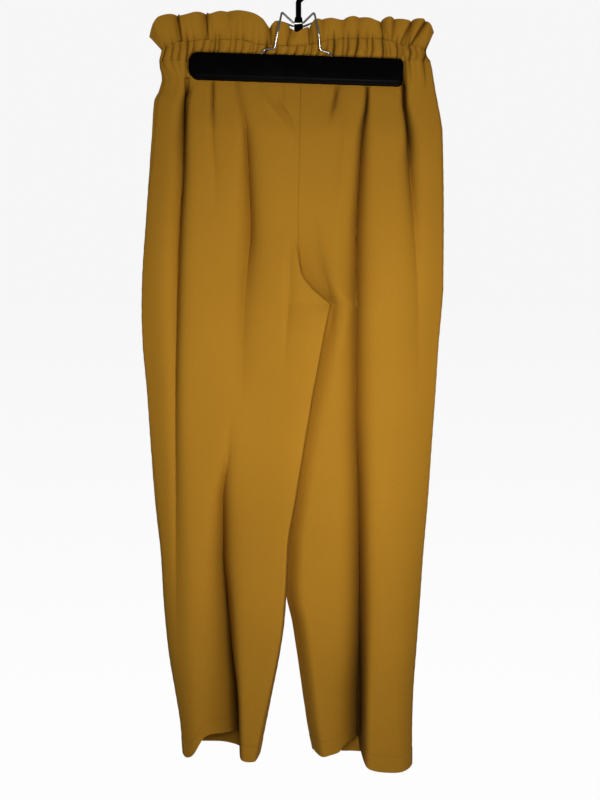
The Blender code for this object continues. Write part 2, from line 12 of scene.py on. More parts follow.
import bmesh
import bpy
import numpy as np
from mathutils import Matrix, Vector


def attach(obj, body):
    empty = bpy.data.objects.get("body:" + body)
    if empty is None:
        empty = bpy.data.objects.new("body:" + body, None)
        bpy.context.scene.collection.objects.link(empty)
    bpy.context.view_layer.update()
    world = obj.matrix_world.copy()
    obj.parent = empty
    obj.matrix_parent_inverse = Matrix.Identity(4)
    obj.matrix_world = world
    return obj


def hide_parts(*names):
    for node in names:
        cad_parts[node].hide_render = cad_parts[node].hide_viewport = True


bl_info = {
    "name": "Paperbag Waist Trousers",
    "version": (1, 0, 0),
    "blender": (4, 5, 0),
    "location": "3D View > Sidebar > Trousers",
    "description": "Paperbag waist trousers hung from a clamp hanger",
    "category": "Add Mesh",
}

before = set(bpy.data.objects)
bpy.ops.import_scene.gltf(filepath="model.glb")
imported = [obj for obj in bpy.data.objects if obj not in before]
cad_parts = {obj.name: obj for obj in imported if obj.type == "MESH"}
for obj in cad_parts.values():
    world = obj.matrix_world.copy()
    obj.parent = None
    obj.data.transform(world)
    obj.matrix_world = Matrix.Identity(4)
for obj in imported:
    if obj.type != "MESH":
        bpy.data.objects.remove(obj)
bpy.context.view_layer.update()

MM = 0.001

# Levels of the cloth
WAIST_DROP = 121.0            # seam between the casing and the panels
CROTCH_DROP = 426.0
HEM_DROP = 1000.0
HEM_LIFT_START = 860.0        # above this the cloth's levels are true drops
HOLLOW_CLOSING_DROP = 330.0   # below this the front and back centre seams come together

# Cloth
SEAM_GAP = 0.03               # space between two pieces at a seam
PLY_CLEARANCE = 2.2           # least distance in Y between the middles of front and back cloth
CLEARANCE_FADE = 6.0          # near a seam that distance closes over this length
FOLD_FADE = 9.0               # a fold dies away over this distance from a seam
OVERLAP_REACH = 75.0          # how far a leg's inner edge draws its cloth to front or back
FOLD_TIP = 0.5                # the cloth turns at the bottom of a crease within this distance
# The shade in the bottom of a crease is painted into the cloth's colour.
SHADE_CORE = 1.0              # the dark bottom of a crease reaches this far from its line
EDGE_ROUND = 0.25             # the wall closes in a round edge of this width
SECTION_SAMPLES = 320

# Hanger
BAR_LENGTH = 267.0
BAR_HEIGHT = 33.2
BAR_THICKNESS = 8.0
BAR_LEFT_CORNER = 12.5
BAR_RIGHT_CORNER = 6.5
BAR_CENTRE_X = -2.5
BAR_CENTRE_DROP = 132.4
BAR_TILT = math.radians(1.95)  # the right end hangs lower
BAR_INNER_FACE = 4.6           # from the middle plane to each bar
CLAMPED_DEPTH = 2.6            # from the middle plane to the clamped cloth
CLAMP_MARGIN = 1.5             # the cloth stays flat this far past the bars' ends
CLAMP_FADE = 6.0               # past that the bars' hold dies away over this distance
ABOVE_BAR_FADE = 20.0          # above the bars their hold drops to half over this distance
RELEASE_LENGTH = 64.0          # the cloth opens out over this length under the bar
BLOCK_WIDTH = 11.0
BLOCK_DEPTH = 8.0
BLOCK_TOP_DROP = 65.0
BLOCK_BOTTOM_DROP = 85.0
HOOK_DIAMETER = 7.0
HOOK_INNER_RADIUS = 18.0
HOOK_X = 0.6                   # the stem stands just beside the hang point
HOOK_FIRST_ANGLE = math.radians(-62.0)
HOOK_LAST_ANGLE = math.radians(205.0)
BLOCK_SHOULDER = ((0.72, 0.0), (0.84, 0.8), (0.98, 7.0), (1.0, 8.0))   # share of half width, fall


class Table:
    """A short table with named columns, read between its rows without overshoot."""

    def __init__(self, columns, *rows):
        self.names = columns.split()
        self.rows = np.array(rows, dtype=float)

    def read(self, name, place):
        places = self.rows[:, 0]
        values = self.rows[:, self.names.index(name)]
        slopes = np.diff(values) / np.diff(places)
        before, after = slopes[:-1], slopes[1:]
        same_way = before * after > 0.0
        total = np.where(same_way, before + after, 1.0)
        inner = np.where(same_way, 2.0 * before * after / total, 0.0)
        tangents = np.concatenate((slopes[:1], inner, slopes[-1:]))
        place = np.clip(place, places[0], places[-1])
        i = np.clip(np.searchsorted(places, place, side="right") - 1, 0, len(places) - 2)
        length = places[i + 1] - places[i]
        t = (place - places[i]) / length
        return (
            values[i] * (1.0 + 2.0 * t) * (1.0 - t) ** 2
            + tangents[i] * length * t * (1.0 - t) ** 2
            + values[i + 1] * t * t * (3.0 - 2.0 * t)
            - tangents[i + 1] * length * t * t * (1.0 - t)
        )


OUTLINE = Table(
    "drop left right",
    (94, -170, 160), (107, -171, 160.5), (121, -173.5, 166), (140, -170.5, 169.5),
    (156, -174, 172), (169, -180, 174.5), (184, -181.5, 177.5), (210, -183, 181),
    (312, -190, 182.5), (400, -195.5, 182), (430, -196, 180), (475, -194.5, 176),
    (530, -189.5, 172.5), (600, -184.5, 167.5), (671, -179, 162.5), (740, -171.5, 156.5),
    (790, -168.5, 153), (850, -163, 148.5), (916, -153.5, 143.8), (965, -147, 142.5),
    (1010, -143.5, 142.5),
)

# Centre seams, from the waist to the crotch point, and the plane in which they meet there.
CENTRE_SEAM = Table(
    "drop x meet_y",
    (121, 4, 0), (250, 1.5, 0), (321, 0, 0), (354, 1.3, -2), (386, 5, -4), (404, 15, -5),
    (416, 27, -5.5), (426, 40, -6),
)

# Inner edges of the legs under the crotch. The left leg passes in front of the right one.
INSEAM = Table(
    "drop left_x right_x left_y right_y",
    (426, 40, 40, -6, -6), (436, 38, 37.2, -9, -5.6), (447, 35.8, 34, -11, -5),
    (462, 32.5, 29.5, -12, -3.6), (490, 27.5, 21, -12, -0.6), (521, 21.3, 13, -12, 2),
    (584, 10.5, 0, -12, 2.5), (671, -3.8, -11, -12, 2.5), (722, -12, -16, -11, 2),
    (769, -13.8, -16.5, -10, 1.5), (791, -15, -14.5, -9, 1), (823, -17.5, -7, -8, 0.5),
    (850, -21.3, -2.8, -6, 0), (908, -31.3, 5, -4, 0), (960, -40, 11, -2, 0),
    (1000, -47.5, 18, -2, 0),
)

# How far the open cloth stands in front of and behind the middle plane, how wide the round of
# the section is at the back, at each side seam and at each inseam, and how straight it is there.
HOLLOW = Table(
    "drop front back back_side left_side right_side left_inner right_inner straight",
    (94, 8, 8, 16, 16, 16, 30, 30, 0), (121, 9, 10, 20, 22, 22, 30, 30, 0.3),
    (153, 9, 13, 24, 30, 28, 30, 30, 0.6), (200, 12.5, 17, 34, 38, 34, 30, 30, 0.85),
    (300, 19, 21, 45, 44, 42, 26, 26, 0.9), (372, 21, 22, 48, 45, 44, 4, 32, 0.9),
    (426, 23, 24, 50, 46, 46, 1.2, 34, 0.9), (600, 25, 27, 48, 42, 42, 1.2, 30, 0.85),
    (800, 28, 31, 36, 34, 30, 3, 22, 0.6),
    (1000, 30, 38, 20, 22, 18, 7, 16, 0.2),
)
ROUND_EASE = {"left": 0.04, "right": 0.25}   # how softly each side strip turns into the front
INNER_ROUND_BEHIND = 60.0     # the back's round at the inseams

# How far each seam lies towards the front of the leg's outer edge, along the cloth.
SEAM_TURN = Table(
    "drop left_side right_side left_inner right_inner",
    (121, 1, 0, 0, 0), (150, 5, 1, 0, 0), (230, 4, 2, 0, 0), (300, 1, 2, 0, 0),
    (426, 0, 1, 0, 0), (520, -2, 0, -0.8, 4), (600, 2, 0, -0.8, 8), (671, 5, 0, -0.8, 11),
    (740, 3, 0, -1, 12), (830, 5, -1, -1, 12), (890, 3, -1, -1, 11), (1000, 1, -1, -1, 8),
)


class Fold:
    """A crease down one face of the cloth, steep at its line. A negative depth is a ridge."""

    def __init__(self, face, *rows, shade=((100, 0), (1000, 0))):
        self.face = face
        self.table = Table("drop x soft_left soft_right depth", *rows)
        # How much shade is painted into the crease's colour, down its length.
        self.shade = Table("drop shade", *shade)

    def nearness(self, x, drop, core=0.0):
        """1 on the crease's line and for a distance core beside it, dying away further out."""
        away = x - self.table.read("x", drop)
        away = np.sign(away) * np.maximum(np.abs(away) - core, 0.0)
        soft_left, soft_right = self.table.read("soft_left", drop), self.table.read("soft_right", drop)
        soft = np.where(away < 0.0, soft_left, soft_right)
        return np.exp(-(np.sqrt(away ** 2 + FOLD_TIP ** 2) - FOLD_TIP) / soft)

    def depth_at(self, x, drop):
        return self.table.read("depth", drop) * self.nearness(x, drop)

    def shade_at(self, x, drop):
        """Painted shade at the bottom of the crease: 1 where hardly any light gets in."""
        return self.shade.read("shade", drop) * self.nearness(x, drop, SHADE_CORE)


# A fold's shade rows give the shade painted into the colour along its line.
FOLDS = {
    "left_bar_end": Fold(
        "front",
        (112, -141, 3, 3, 2), (146, -137.5, 2, 1.8, 8), (158, -138.5, 2, 1.8, 16),
        (171, -141.2, 2.6, 2, 22), (209, -143, 6, 3, 21), (259, -144, 7.5, 4, 19),
        (334, -148.5, 8.5, 4.6, 20), (421, -151, 8.5, 5, 17), (546, -152.5, 7, 5.5, 10),
        (671, -151.5, 6, 6.5, 6), (765, -151, 6, 7, 3), (860, -149, 6, 7, 0),
        shade=((136, 0), (152, 0.7), (162, 1), (171, 1), (209, 0.62), (259, 0.33), (334, 0)),
    ),
    "left_pleat": Fold(
        "front",
        (140, -107, 1.4, 1.4, 5), (171, -107, 1.6, 1.6, 6), (209, -107, 3, 4, 4.4),
        (259, -104, 4, 5, 2.4), (320, -102, 5, 6, 0),
        shade=((140, 0.4), (171, 0.3), (209, 0)),
    ),
    "left_slant": Fold(
        "front",
        (150, -77, 2, 4, 3), (171, -73, 2.5, 5, 5), (190, -68, 3, 5, 8), (209, -65.2, 3, 6, 14),
        (259, -62.5, 5, 7, 20), (334, -60, 10, 8, 22), (371, -63, 11, 11, 17), (421, -67, 9, 16, 11),
        (484, -69, 9, 16, 5), (560, -69, 9, 16, 0),
        shade=((150, 0.2), (209, 0), (300, 0), (421, 0.14), (560, 0)),
    ),
    "centre_ridge": Fold(
        "front",
        (150, -44, 4, 4, -1), (171, -40, 4, 4, -2.6), (190, -25, 4, 4, -2.4),
        (218, -11, 4, 5, -1.4), (245, -6, 5, 5, 0),
    ),
    "centre_slant": Fold(
        "front",
        (150, -22, 4, 4, 2), (171, -20, 3.5, 4, 3.4), (190, -9, 3, 4, 3), (209, -3, 3, 4, 1.8),
        (240, 1, 4, 4, 0),
    ),
    "right_slant": Fold(
        "front",
        (146, 50, 1.6, 2.4, 4), (171, 45.5, 2, 3, 6.5), (185, 42, 2, 3, 3), (202, 39, 3, 4, 0),
        shade=((146, 0.45), (171, 0.35), (200, 0)),
    ),
    "right_crease": Fold(
        "front",
        (112, 85.5, 1.4, 1.2, 7), (146, 87, 1.2, 0.9, 10), (160, 87, 1.4, 1.0, 11),
        (171, 86.5, 1.7, 1.2, 14), (209, 81, 3.2, 3.6, 22), (259, 77.5, 3.6, 5.6, 28),
        (334, 74, 6, 7, 30), (421, 73, 9, 8, 26), (546, 72.5, 9, 8, 31), (671, 76.5, 9, 6, 37),
        (796, 78, 9, 5, 46), (860, 78.5, 10.5, 3.4, 54), (921, 79, 13, 2.2, 66),
        (1005, 79, 14, 1.8, 70),
        shade=(
            (146, 0.85), (171, 0.75), (209, 0.3), (259, 0), (334, 0), (421, 0.2), (546, 0),
            (671, 0.1), (796, 0.3), (921, 0.75), (1005, 0.8),
        ),
    ),
    "right_ridge": Fold(
        "front",
        (150, 62, 6, 5, 0), (210, 60, 6, 5, -2), (259, 55, 6, 6, -3), (340, 49, 7, 7, -2.4),
        (430, 48, 8, 8, -1.2), (560, 48, 8, 8, 0),
    ),
    "right_bar_end": Fold(
        "front",
        (112, 131, 1.6, 1.4, 6), (146, 132.3, 1.4, 1.3, 14), (160, 132.3, 1.4, 1.6, 18),
        (171, 132.6, 1.3, 2, 22), (190, 135.4, 1.6, 3, 24), (209, 137.6, 2, 4.6, 23),
        (259, 141, 6, 7, 20), (334, 146, 9, 8, 10), (421, 149, 10, 10, 4), (546, 150, 9, 10, 0),
        shade=((112, 0.3), (140, 0.8), (150, 1), (171, 1), (209, 0.9), (259, 0.15), (334, 0)),
    ),
    "crotch_hollow": Fold(
        "front",
        (300, 20, 7, 9, 0), (340, 24, 9, 9, 2), (372, 30, 11, 8, 3.4), (400, 36, 12, 6, 4.4),
        (421, 41, 9, 5, 3.4), (440, 42, 5, 8, 2), (480, 40, 6, 10, 0),
        shade=((310, 0), (350, 0.12), (395, 0.3), (421, 0.25), (436, 0.1), (460, 0)),
    ),
    "left_drag": Fold(
        "front",
        (320, -9, 3, 6, 0), (371, -10, 3, 6, 3), (421, -12, 2.6, 6, 5), (450, -14, 3, 6, 2.6),
        (520, -18, 5, 6, 0),
    ),
    "left_leg_trough": Fold(
        "front",
        (560, -84, 5, 6, 0), (609, -86, 5, 6, 5), (640, -91, 4.5, 6.5, 13), (671, -94, 5.5, 7.5, 24),
        (734, -94, 8, 7, 33), (796, -89.5, 11, 5.5, 43), (858, -84, 14, 4, 48),
        (921, -77, 18, 2, 56), (1000, -74, 22, 1.6, 60),
        shade=((671, 0), (740, 0.2), (796, 0.3), (921, 0.5), (1000, 0.45)),
    ),
    "back_left_bar_end": Fold(
        "back",
        (112, -139, 2, 4, 4), (146, -140, 2, 4, 13), (200, -141, 3, 5, 11), (300, -144, 5, 6, 6),
        (420, -147, 6, 7, 3), (560, -149, 7, 8, 0),
        shade=((112, 0.8), (171, 0.7), (230, 0.3), (330, 0)),
    ),
    "back_left_pleat": Fold(
        "back",
        (140, -59, 2.5, 3, 5), (180, -56, 3, 5, 6), (250, -53, 4, 6, 3.5), (330, -50, 6, 8, 0),
        shade=((140, 0.4), (230, 0.1), (300, 0)),
    ),
    "back_middle_slant": Fold(
        "back",
        (146, -16, 2.5, 3, 2.5), (190, -8, 3, 4, 3.4), (260, -1, 4, 6, 1.6), (330, 4, 5, 7, 0),
    ),
    "back_right_pleat": Fold(
        "back",
        (140, 31, 3, 2, 5), (200, 34, 5, 3, 8), (300, 38, 6, 4, 6), (400, 41, 8, 6, 3),
        (500, 43, 8, 8, 0),
        shade=((140, 0.4), (230, 0.1), (300, 0)),
    ),
    "back_right_bar_end": Fold(
        "back",
        (112, 132, 4, 2, 4), (146, 132, 4, 2, 13), (200, 136, 5, 3, 11), (300, 145, 7, 5, 6),
        (390, 150, 8, 6, 3), (520, 152, 8, 7, 0),
        shade=((112, 0.8), (171, 0.7), (230, 0.3), (330, 0)),
    ),
    "back_left_leg_trough": Fold(
        "back",
        (480, -84, 6, 8, 0), (671, -78, 7, 8, 8), (830, -68, 6, 6, 15), (1000, -58, 5, 6, 22),
        shade=((671, 0), (1000, 0.4)),
    ),
    "back_right_leg_trough": Fold(
        "back",
        (460, 120, 8, 6, 0), (671, 117, 9, 6, 9), (830, 112, 12, 5, 17), (1000, 109, 14, 4, 24),
        shade=((671, 0), (1000, 0.4)),
    ),
    "back_right_leg_ridge": Fold(
        "back",
        (480, 72, 9, 9, 0), (640, 69, 9, 9, -1.8), (860, 59, 9, 9, -2.4), (1000, 55, 9, 9, -1),
    ),
}

# Hems, lifted a little where the cloth is drawn in.
HEM = {
    "front": Table(
        "x drop",
        (-146, 982), (-138, 987), (-132.5, 985), (-127, 979), (-122, 970), (-116, 961), (-108, 958),
        (-95, 960), (-80, 965), (-75, 973), (-70, 985), (-60, 987), (-44, 985), (18, 981), (29, 983),
        (40, 981), (50, 979), (57, 972), (66, 970), (76, 974), (80, 989), (87, 996.5), (102, 1000),
        (120, 1001), (135, 999.5), (144, 997),
    ),
    "back": Table(
        "x drop",
        (-146, 982), (-125, 985.5), (-80, 986), (-60, 988), (-44, 985), (18, 981), (29, 984),
        (45, 992), (60, 997), (80, 998), (108, 995), (144, 997),
    ),
}

# The stitch line between the casing and the frill.
STITCH_LINE = Table(
    "x drop",
    (-172, 106), (-142, 97), (-112, 94), (-72, 94), (-51, 100), (-2, 102.5), (17, 100),
    (45, 94), (65, 93), (106, 94), (126, 100), (162, 106),
)

# Top edge of the frill: where its free edge stands, and how far it is carried sideways.
FRILL_EDGE = Table(
    "x drop",
    (-188, 92), (-183, 82), (-172, 69), (-150, 64), (-146, 67), (-126, 63), (-115, 61.5),
    (-109, 65), (-95, 61.5), (-77, 61), (-58, 64), (-45, 70), (-35, 79), (-27, 74), (-14, 77),
    (-8, 82), (-1, 88), (6, 84), (14, 79), (22, 71), (39, 70.5), (52, 72), (61, 69), (71, 68),
    (86, 70), (101, 74), (106, 69), (113, 68), (126, 71), (139, 73), (144, 70), (159, 71),
    (164, 76), (171, 84),
)
FRILL_FLARE = Table("x shift", (-171, -16), (-140, -6), (-90, 0), (90, 0), (135, 5), (161, 10))
FRILL_LEAN = 11.0         # how far the frill stands from the middle plane beside its creases
FRILL_BULGE = 4.5         # how much further it stands out between two creases
FRILL_CREASE_FLOOR = 2.2  # how near a crease comes to the middle plane

# Creases of the frill: x at the free edge and at the stitch line, softness of the two sides,
# and depth.
FRILL_CREASES = {
    "front": (
        (-150, -145, 4.0, 0.7, 13), (-114, -112.5, 5.0, 0.6, 13), (-88, -90, 6, 8, 2),
        (-35, -34, 5.0, 1.4, 12), (-10, -14, 3.0, 2.5, 6), (13.5, 14.5, 0.7, 4.5, 12),
        (30, 31, 4, 4, 3), (58, 56, 6.0, 4.0, 4), (76, 74, 4.0, 5.0, 2), (103, 107, 0.7, 5.0, 13),
        (120, 117, 3.0, 3.0, 6), (141, 127, 0.7, 4.5, 13), (159, 139, 1.0, 3.0, 11),
    ),
    "back": (
        (-152, -146, 0.8, 4.0, 13), (-120, -118, 4.0, 0.8, 12), (-84, -82, 4.0, 1.2, 8),
        (-46, -47, 1.0, 4.5, 12), (-10, -8, 4.0, 2.5, 8), (30, 31, 0.8, 4.0, 12),
        (66, 64, 4.0, 1.0, 8), (104, 101, 1.0, 4.0, 12), (142, 132, 4.0, 0.9, 12),
    ),
}

# Creases that run aslant over the casing: x at the stitch line and at the waist seam, depth.
CASING_CREASES = {
    "front": ((-72, -78, 1.0), (74, 92, 1.3), (104, 110, 1.2), (-139, -128, 1.0), (38, 30, 0.7)),
    "back": ((-60, -50, 1.1), (22, 10, 1.0), (88, 96, 1.0), (-120, -112, 0.9)),
}


def smooth(t):
    """Ease from 0 to 1."""
    t = np.clip(t, 0.0, 1.0)
    return t * t * (3.0 - 2.0 * t)


def between(start, end, t):
    return start + (end - start) * t


def bump(distance, width):
    """A soft rise of height 1 around distance 0."""
    return np.exp(-(distance / width) ** 2)


# ---------------------------------------------------------------------------- settings


class TrousersCloth(bpy.types.PropertyGroup):
    """What a user would change about the cloth and its stitching."""

    colour: bpy.props.FloatVectorProperty(
        name="Colour", description="Main colour of the cloth", subtype="COLOR",
        default=(0.396, 0.189, 0.0160), min=0.0, max=1.0,
    )
    wall: bpy.props.FloatProperty(
        name="Thickness", description="Thickness of one layer of cloth", subtype="DISTANCE",
        default=0.0012, min=0.0004, max=0.0014,
    )
    hem_depth: bpy.props.FloatProperty(
        name="Hem depth", description="Height of the turned-up hem", subtype="DISTANCE",
        default=0.020, min=0.005, max=0.06,
    )
    gather_height: bpy.props.FloatProperty(
        name="Gather height", description="How far a gather of the casing stands out",
        subtype="DISTANCE", default=0.0021, min=0.0, max=0.004,
    )
    gather_spacing: bpy.props.FloatProperty(
        name="Gather spacing", description="Mean distance between two gathers",
        subtype="DISTANCE", default=0.0078, min=0.003, max=0.03,
    )
    gather_seed: bpy.props.IntProperty(
        name="Gather seed", description="Seed of the uneven gathers", default=11, min=0,
    )
    stitch_pitch: bpy.props.FloatProperty(
        name="Stitch pitch", description="Distance from one stitch to the next",
        subtype="DISTANCE", default=0.0031, min=0.001, max=0.01,
    )
    stitch_length: bpy.props.FloatProperty(
        name="Stitch length", description="Length of one stitch", subtype="DISTANCE",
        default=0.0023, min=0.0005, max=0.01,
    )
    thread: bpy.props.FloatProperty(
        name="Thread", description="Thickness of the sewing thread", subtype="DISTANCE",
        default=0.00055, min=0.0001, max=0.002,
    )
    thread_colour: bpy.props.FloatVectorProperty(
        name="Thread colour", description="Colour of the sewing thread", subtype="COLOR",
        default=(0.255, 0.105, 0.010), min=0.0, max=1.0,
    )


class TrousersHanger(bpy.types.PropertyGroup):
    """What a user would change about the hanger."""

    plastic_colour: bpy.props.FloatVectorProperty(
        name="Plastic colour", description="Colour of the moulded plastic", subtype="COLOR",
        default=(0.0011, 0.0011, 0.0012), min=0.0, max=1.0,
    )
    steel_colour: bpy.props.FloatVectorProperty(
        name="Steel colour", description="Colour of the spring wires", subtype="COLOR",
        default=(0.60, 0.59, 0.57), min=0.0, max=1.0,
    )
    wire_diameter: bpy.props.FloatProperty(
        name="Wire diameter", description="Thickness of the spring wires", subtype="DISTANCE",
        default=0.0026, min=0.001, max=0.005,
    )
    bar_edge: bpy.props.FloatProperty(
        name="Bar edge", description="Width of the rounded edge of a bar", subtype="DISTANCE",
        default=0.0016, min=0.0002, max=0.003,
    )


class TrousersStage(bpy.types.PropertyGroup):
    """What a user would change about the stage."""

    camera_distance: bpy.props.FloatProperty(
        name="Camera distance", description="From the camera to the middle of the cloth",
        subtype="DISTANCE", default=1.2, min=0.5, max=5.0,
    )
    view_height: bpy.props.FloatProperty(
        name="View height", description="Height that the camera takes in at the cloth",
        subtype="DISTANCE", default=1.004, min=0.2, max=3.0,
    )
    key_power: bpy.props.FloatProperty(
        name="Key light", description="Power of the main light in watts", default=4.6, min=0.0,
    )
    fill_power: bpy.props.FloatProperty(
        name="Fill light", description="Power of the light from the left in watts",
        default=0.6, min=0.0,
    )
    back_power: bpy.props.FloatProperty(
        name="Back light", description="Power of the light from behind in watts",
        default=9.0, min=0.0,
    )
    room_light: bpy.props.FloatProperty(
        name="Room light", description="Strength of the even light of the room",
        default=0.13, min=0.0,
    )
    floor_drop: bpy.props.FloatProperty(
        name="Floor drop", description="How far the floor lies under the hang point",
        subtype="DISTANCE", default=1.35, min=1.01, max=3.0,
    )


def cloth_settings():
    return bpy.context.scene.trousers_cloth


def hanger_settings():
    return bpy.context.scene.trousers_hanger


def stage_settings():
    return bpy.context.scene.trousers_stage


# ---------------------------------------------------------------------------- cloth shape


def bar_bottom_drop(x):
    return BAR_CENTRE_DROP + 0.5 * BAR_HEIGHT + (x - BAR_CENTRE_X) * math.tan(BAR_TILT)


def bar_top_drop(x):
    return bar_bottom_drop(x) - BAR_HEIGHT


def pressed(x, drop):
    """How much the bars hold the cloth flat: 1 between them, 0 where it hangs free."""
    past_end = np.abs(x - BAR_CENTRE_X) - 0.5 * BAR_LENGTH
    sideways = 1.0 - smooth((past_end - CLAMP_MARGIN) / CLAMP_FADE)
    below = (1.0 - np.clip((drop - bar_bottom_drop(x)) / RELEASE_LENGTH, 0.0, 1.0)) ** 1.5
    above = 1.0 - 0.5 * smooth((bar_top_drop(x) - drop) / ABOVE_BAR_FADE)
    return sideways * np.minimum(below, above)


def side_edge(leg, drop):
    return OUTLINE.read(leg, drop)


def inner_edge(leg, drop):
    return np.where(
        drop < CROTCH_DROP, CENTRE_SEAM.read("x", drop), INSEAM.read(leg + "_x", drop)
    )


def edge_plane(leg, drop):
    """The Y of the leg's inner edge, or of the place where the centre seams will meet."""
    return np.where(
        drop < CROTCH_DROP, CENTRE_SEAM.read("meet_y", drop), INSEAM.read(leg + "_y", drop)
    )


def closing(drop):
    """How far the front and back centre seams have come together."""
    t = (drop - HOLLOW_CLOSING_DROP) / (CROTCH_DROP - HOLLOW_CLOSING_DROP)
    return 1.0 - (1.0 - np.clip(t, 0.0, 1.0)) ** 1.3


def open_face(face, leg, x, drop):
    """Y of one face of the hollow cloth, before the bars press it and before its folds."""
    outward = -1.0 if face == "front" else 1.0
    half = HOLLOW.read(face, drop)
    from_side = np.abs(x - side_edge(leg, drop))
    from_inner = np.abs(inner_edge(leg, drop) - x)
    if face == "front":
        side_round, inner_round = HOLLOW.read(leg + "_side", drop), HOLLOW.read(leg + "_inner", drop)
        straight = HOLLOW.read("straight", drop)
    else:
        side_round, inner_round = HOLLOW.read("back_side", drop), INNER_ROUND_BEHIND
        straight = 0.0
    side_t = np.minimum(from_side / side_round, 1.0)
    inner_t = np.minimum(from_inner / inner_round, 1.0)
    side_rise = np.sqrt(np.maximum(1.0 - (1.0 - side_t) ** 2, 0.0))
    slant = from_side / side_round
    slant = 0.5 * (slant + 1.0 - np.sqrt((slant - 1.0) ** 2 + ROUND_EASE[leg]))
    at_edge = 0.5 * (1.0 - math.sqrt(1.0 + ROUND_EASE[leg]))
    side_rise = between(side_rise, (slant - at_edge) / (1.0 - at_edge), straight)
    inner_rise = between(1.0, np.sin(0.5 * math.pi * inner_t), closing(drop))
    meeting = np.where(drop < CROTCH_DROP, 0.5 * closing(drop) * (1.0 - inner_t), 0.0)
    at_seam = 0.5 * SEAM_GAP + meeting * 1.2
    middle = edge_plane(leg, drop) * (1.0 - smooth(from_inner / OVERLAP_REACH))
    return middle + outward * (at_seam + (half - at_seam) * side_rise * inner_rise)


def ripples(face, x, drop):
    """Slow, shallow waves, so that no stretch of cloth is quite flat."""
    turn = 0.0 if face == "front" else 2.1
    wide = np.sin(x / 21.0 + 0.004 * drop + turn) * np.sin(drop / 95.0 + 0.9 * turn + x / 160.0)
    narrow = np.sin(x / 8.5 - 0.006 * drop + 3.0 * turn) * np.sin(drop / 61.0 + x / 90.0 + turn)
    return 0.55 * wide + 0.22 * narrow


def folded_face(face, leg, x, drop):
    """Y of one face with its folds, flattened where the bars hold it."""
    outward = -1.0 if face == "front" else 1.0
    from_seam = np.abs(x - side_edge(leg, drop))
    near_centre = np.abs(inner_edge(leg, drop) - x)
    relief = between(FOLD_FADE, np.minimum(near_centre, FOLD_FADE), closing(drop))
    from_seam = np.minimum(from_seam, relief)
    fade = smooth(from_seam / FOLD_FADE)
    trough = ripples(face, x, drop)
    for fold in FOLDS.values():
        if fold.face == face:
            trough = trough + fold.depth_at(x, drop)
    open_y = open_face(face, leg, x, drop)
    y = between(open_y, outward * CLAMPED_DEPTH, pressed(x, drop) * fade)
    held = smooth((bar_bottom_drop(x) - drop) / 5.0) * pressed(x, drop)
    return y - outward * trough * fade * (1.0 - held)


def fold_shade(face, x, drop):
    """The painted shade of the deepest crease a point lies in."""
    shade = np.zeros(np.shape(x))
    for fold in FOLDS.values():
        if fold.face == face:
            shade = np.maximum(shade, fold.shade_at(x, drop))
    return shade


def cloth_y(face, leg, x, drop):
    """Y of the middle of the cloth. The front keeps clear of the back."""
    back = folded_face("back", leg, x, drop)
    if face == "back":
        return back
    front = folded_face("front", leg, x, drop)
    from_side = np.abs(x - side_edge(leg, drop))
    from_inner = np.abs(inner_edge(leg, drop) - x)
    from_edge = np.where(drop < CROTCH_DROP, from_side, np.minimum(from_side, from_inner))
    clearance = PLY_CLEARANCE * smooth(from_edge / CLEARANCE_FADE) + SEAM_GAP
    return np.minimum(front, back - clearance)


def panel_drop(face, x, drop):
    """The real drop of a point: the hem follows its own line."""
    low = smooth((drop - HEM_LIFT_START) / (HEM_DROP - HEM_LIFT_START))
    return drop + low * (HEM[face].read("drop", x) - HEM_DROP)


def spread(start, end, steps, fine=(0.0, 0.08, 0.24, 0.5, 1.1, 2.2)):
    """Places from start to end: close together at both ends, even between them."""
    near = start + np.array(fine)
    far = end - np.array(fine[::-1])
    even = np.linspace(near[-1], far[0], steps - 2 * len(fine) + 3)[1:-1]
    return np.concatenate((near, even, far))


def path_lengths(points):
    """Length along a line of points, from its first one."""
    return np.concatenate(([0.0], np.cumsum(np.linalg.norm(np.diff(points, axis=0), axis=1))))


def read_path(points, lengths, places):
    return np.column_stack([np.interp(places, lengths, points[:, k]) for k in (0, 1)])


def level_sections(drops):
    """The level section of each face of each leg at every drop, from the side to the inner edge."""
    eased = 0.5 - 0.5 * np.cos(np.pi * np.arange(SECTION_SAMPLES + 1) / SECTION_SAMPLES)
    tall = drops[:, None]
    sections = {}
    for leg in ("left", "right"):
        start, end = side_edge(leg, tall), inner_edge(leg, tall)
        x = start + (end - start) * eased
        for face in ("front", "back"):
            sections[face, leg] = np.stack((x, cloth_y(face, leg, x, tall)), axis=2)
    return sections


class ClothGrid:
    """Middle points of one piece, with the direction that is outward and the distance along it."""

    def __init__(self, points, across, place):
        self.points = points            # rows of (x, y, z) in millimetres
        self.across = across            # unit vectors along the rows
        self.place = place              # millimetres along the cloth, one for each point

    def outward(self, turn):
        down = np.gradient(self.points, axis=0)
        normal = np.cross(self.across, down)
        normal /= np.linalg.norm(normal, axis=2, keepdims=True)
        return normal * turn


def panel_levels():
    top = WAIST_DROP + 0.5 * SEAM_GAP + np.array((0.0, 0.08, 0.24, 0.5, 1.2))
    upper = np.arange(WAIST_DROP + 3.4, 212.0, 2.3)
    middle = np.arange(214.5, 905.0, 3.3)
    hem_top = HEM_DROP - cloth_settings().hem_depth / MM
    lower = np.linspace(907.5, hem_top - 3.0, 24)
    groove = hem_top + np.array((-1.6, -0.8, -0.4, 0.0, 0.4, 0.8, 1.6))
    turned = np.linspace(hem_top + 3.2, HEM_DROP - 2.2, 8)
    bottom = HEM_DROP - np.array((1.2, 0.5, 0.24, 0.08, 0.0))
    return np.concatenate((top, upper, middle, lower, groove, turned, bottom))


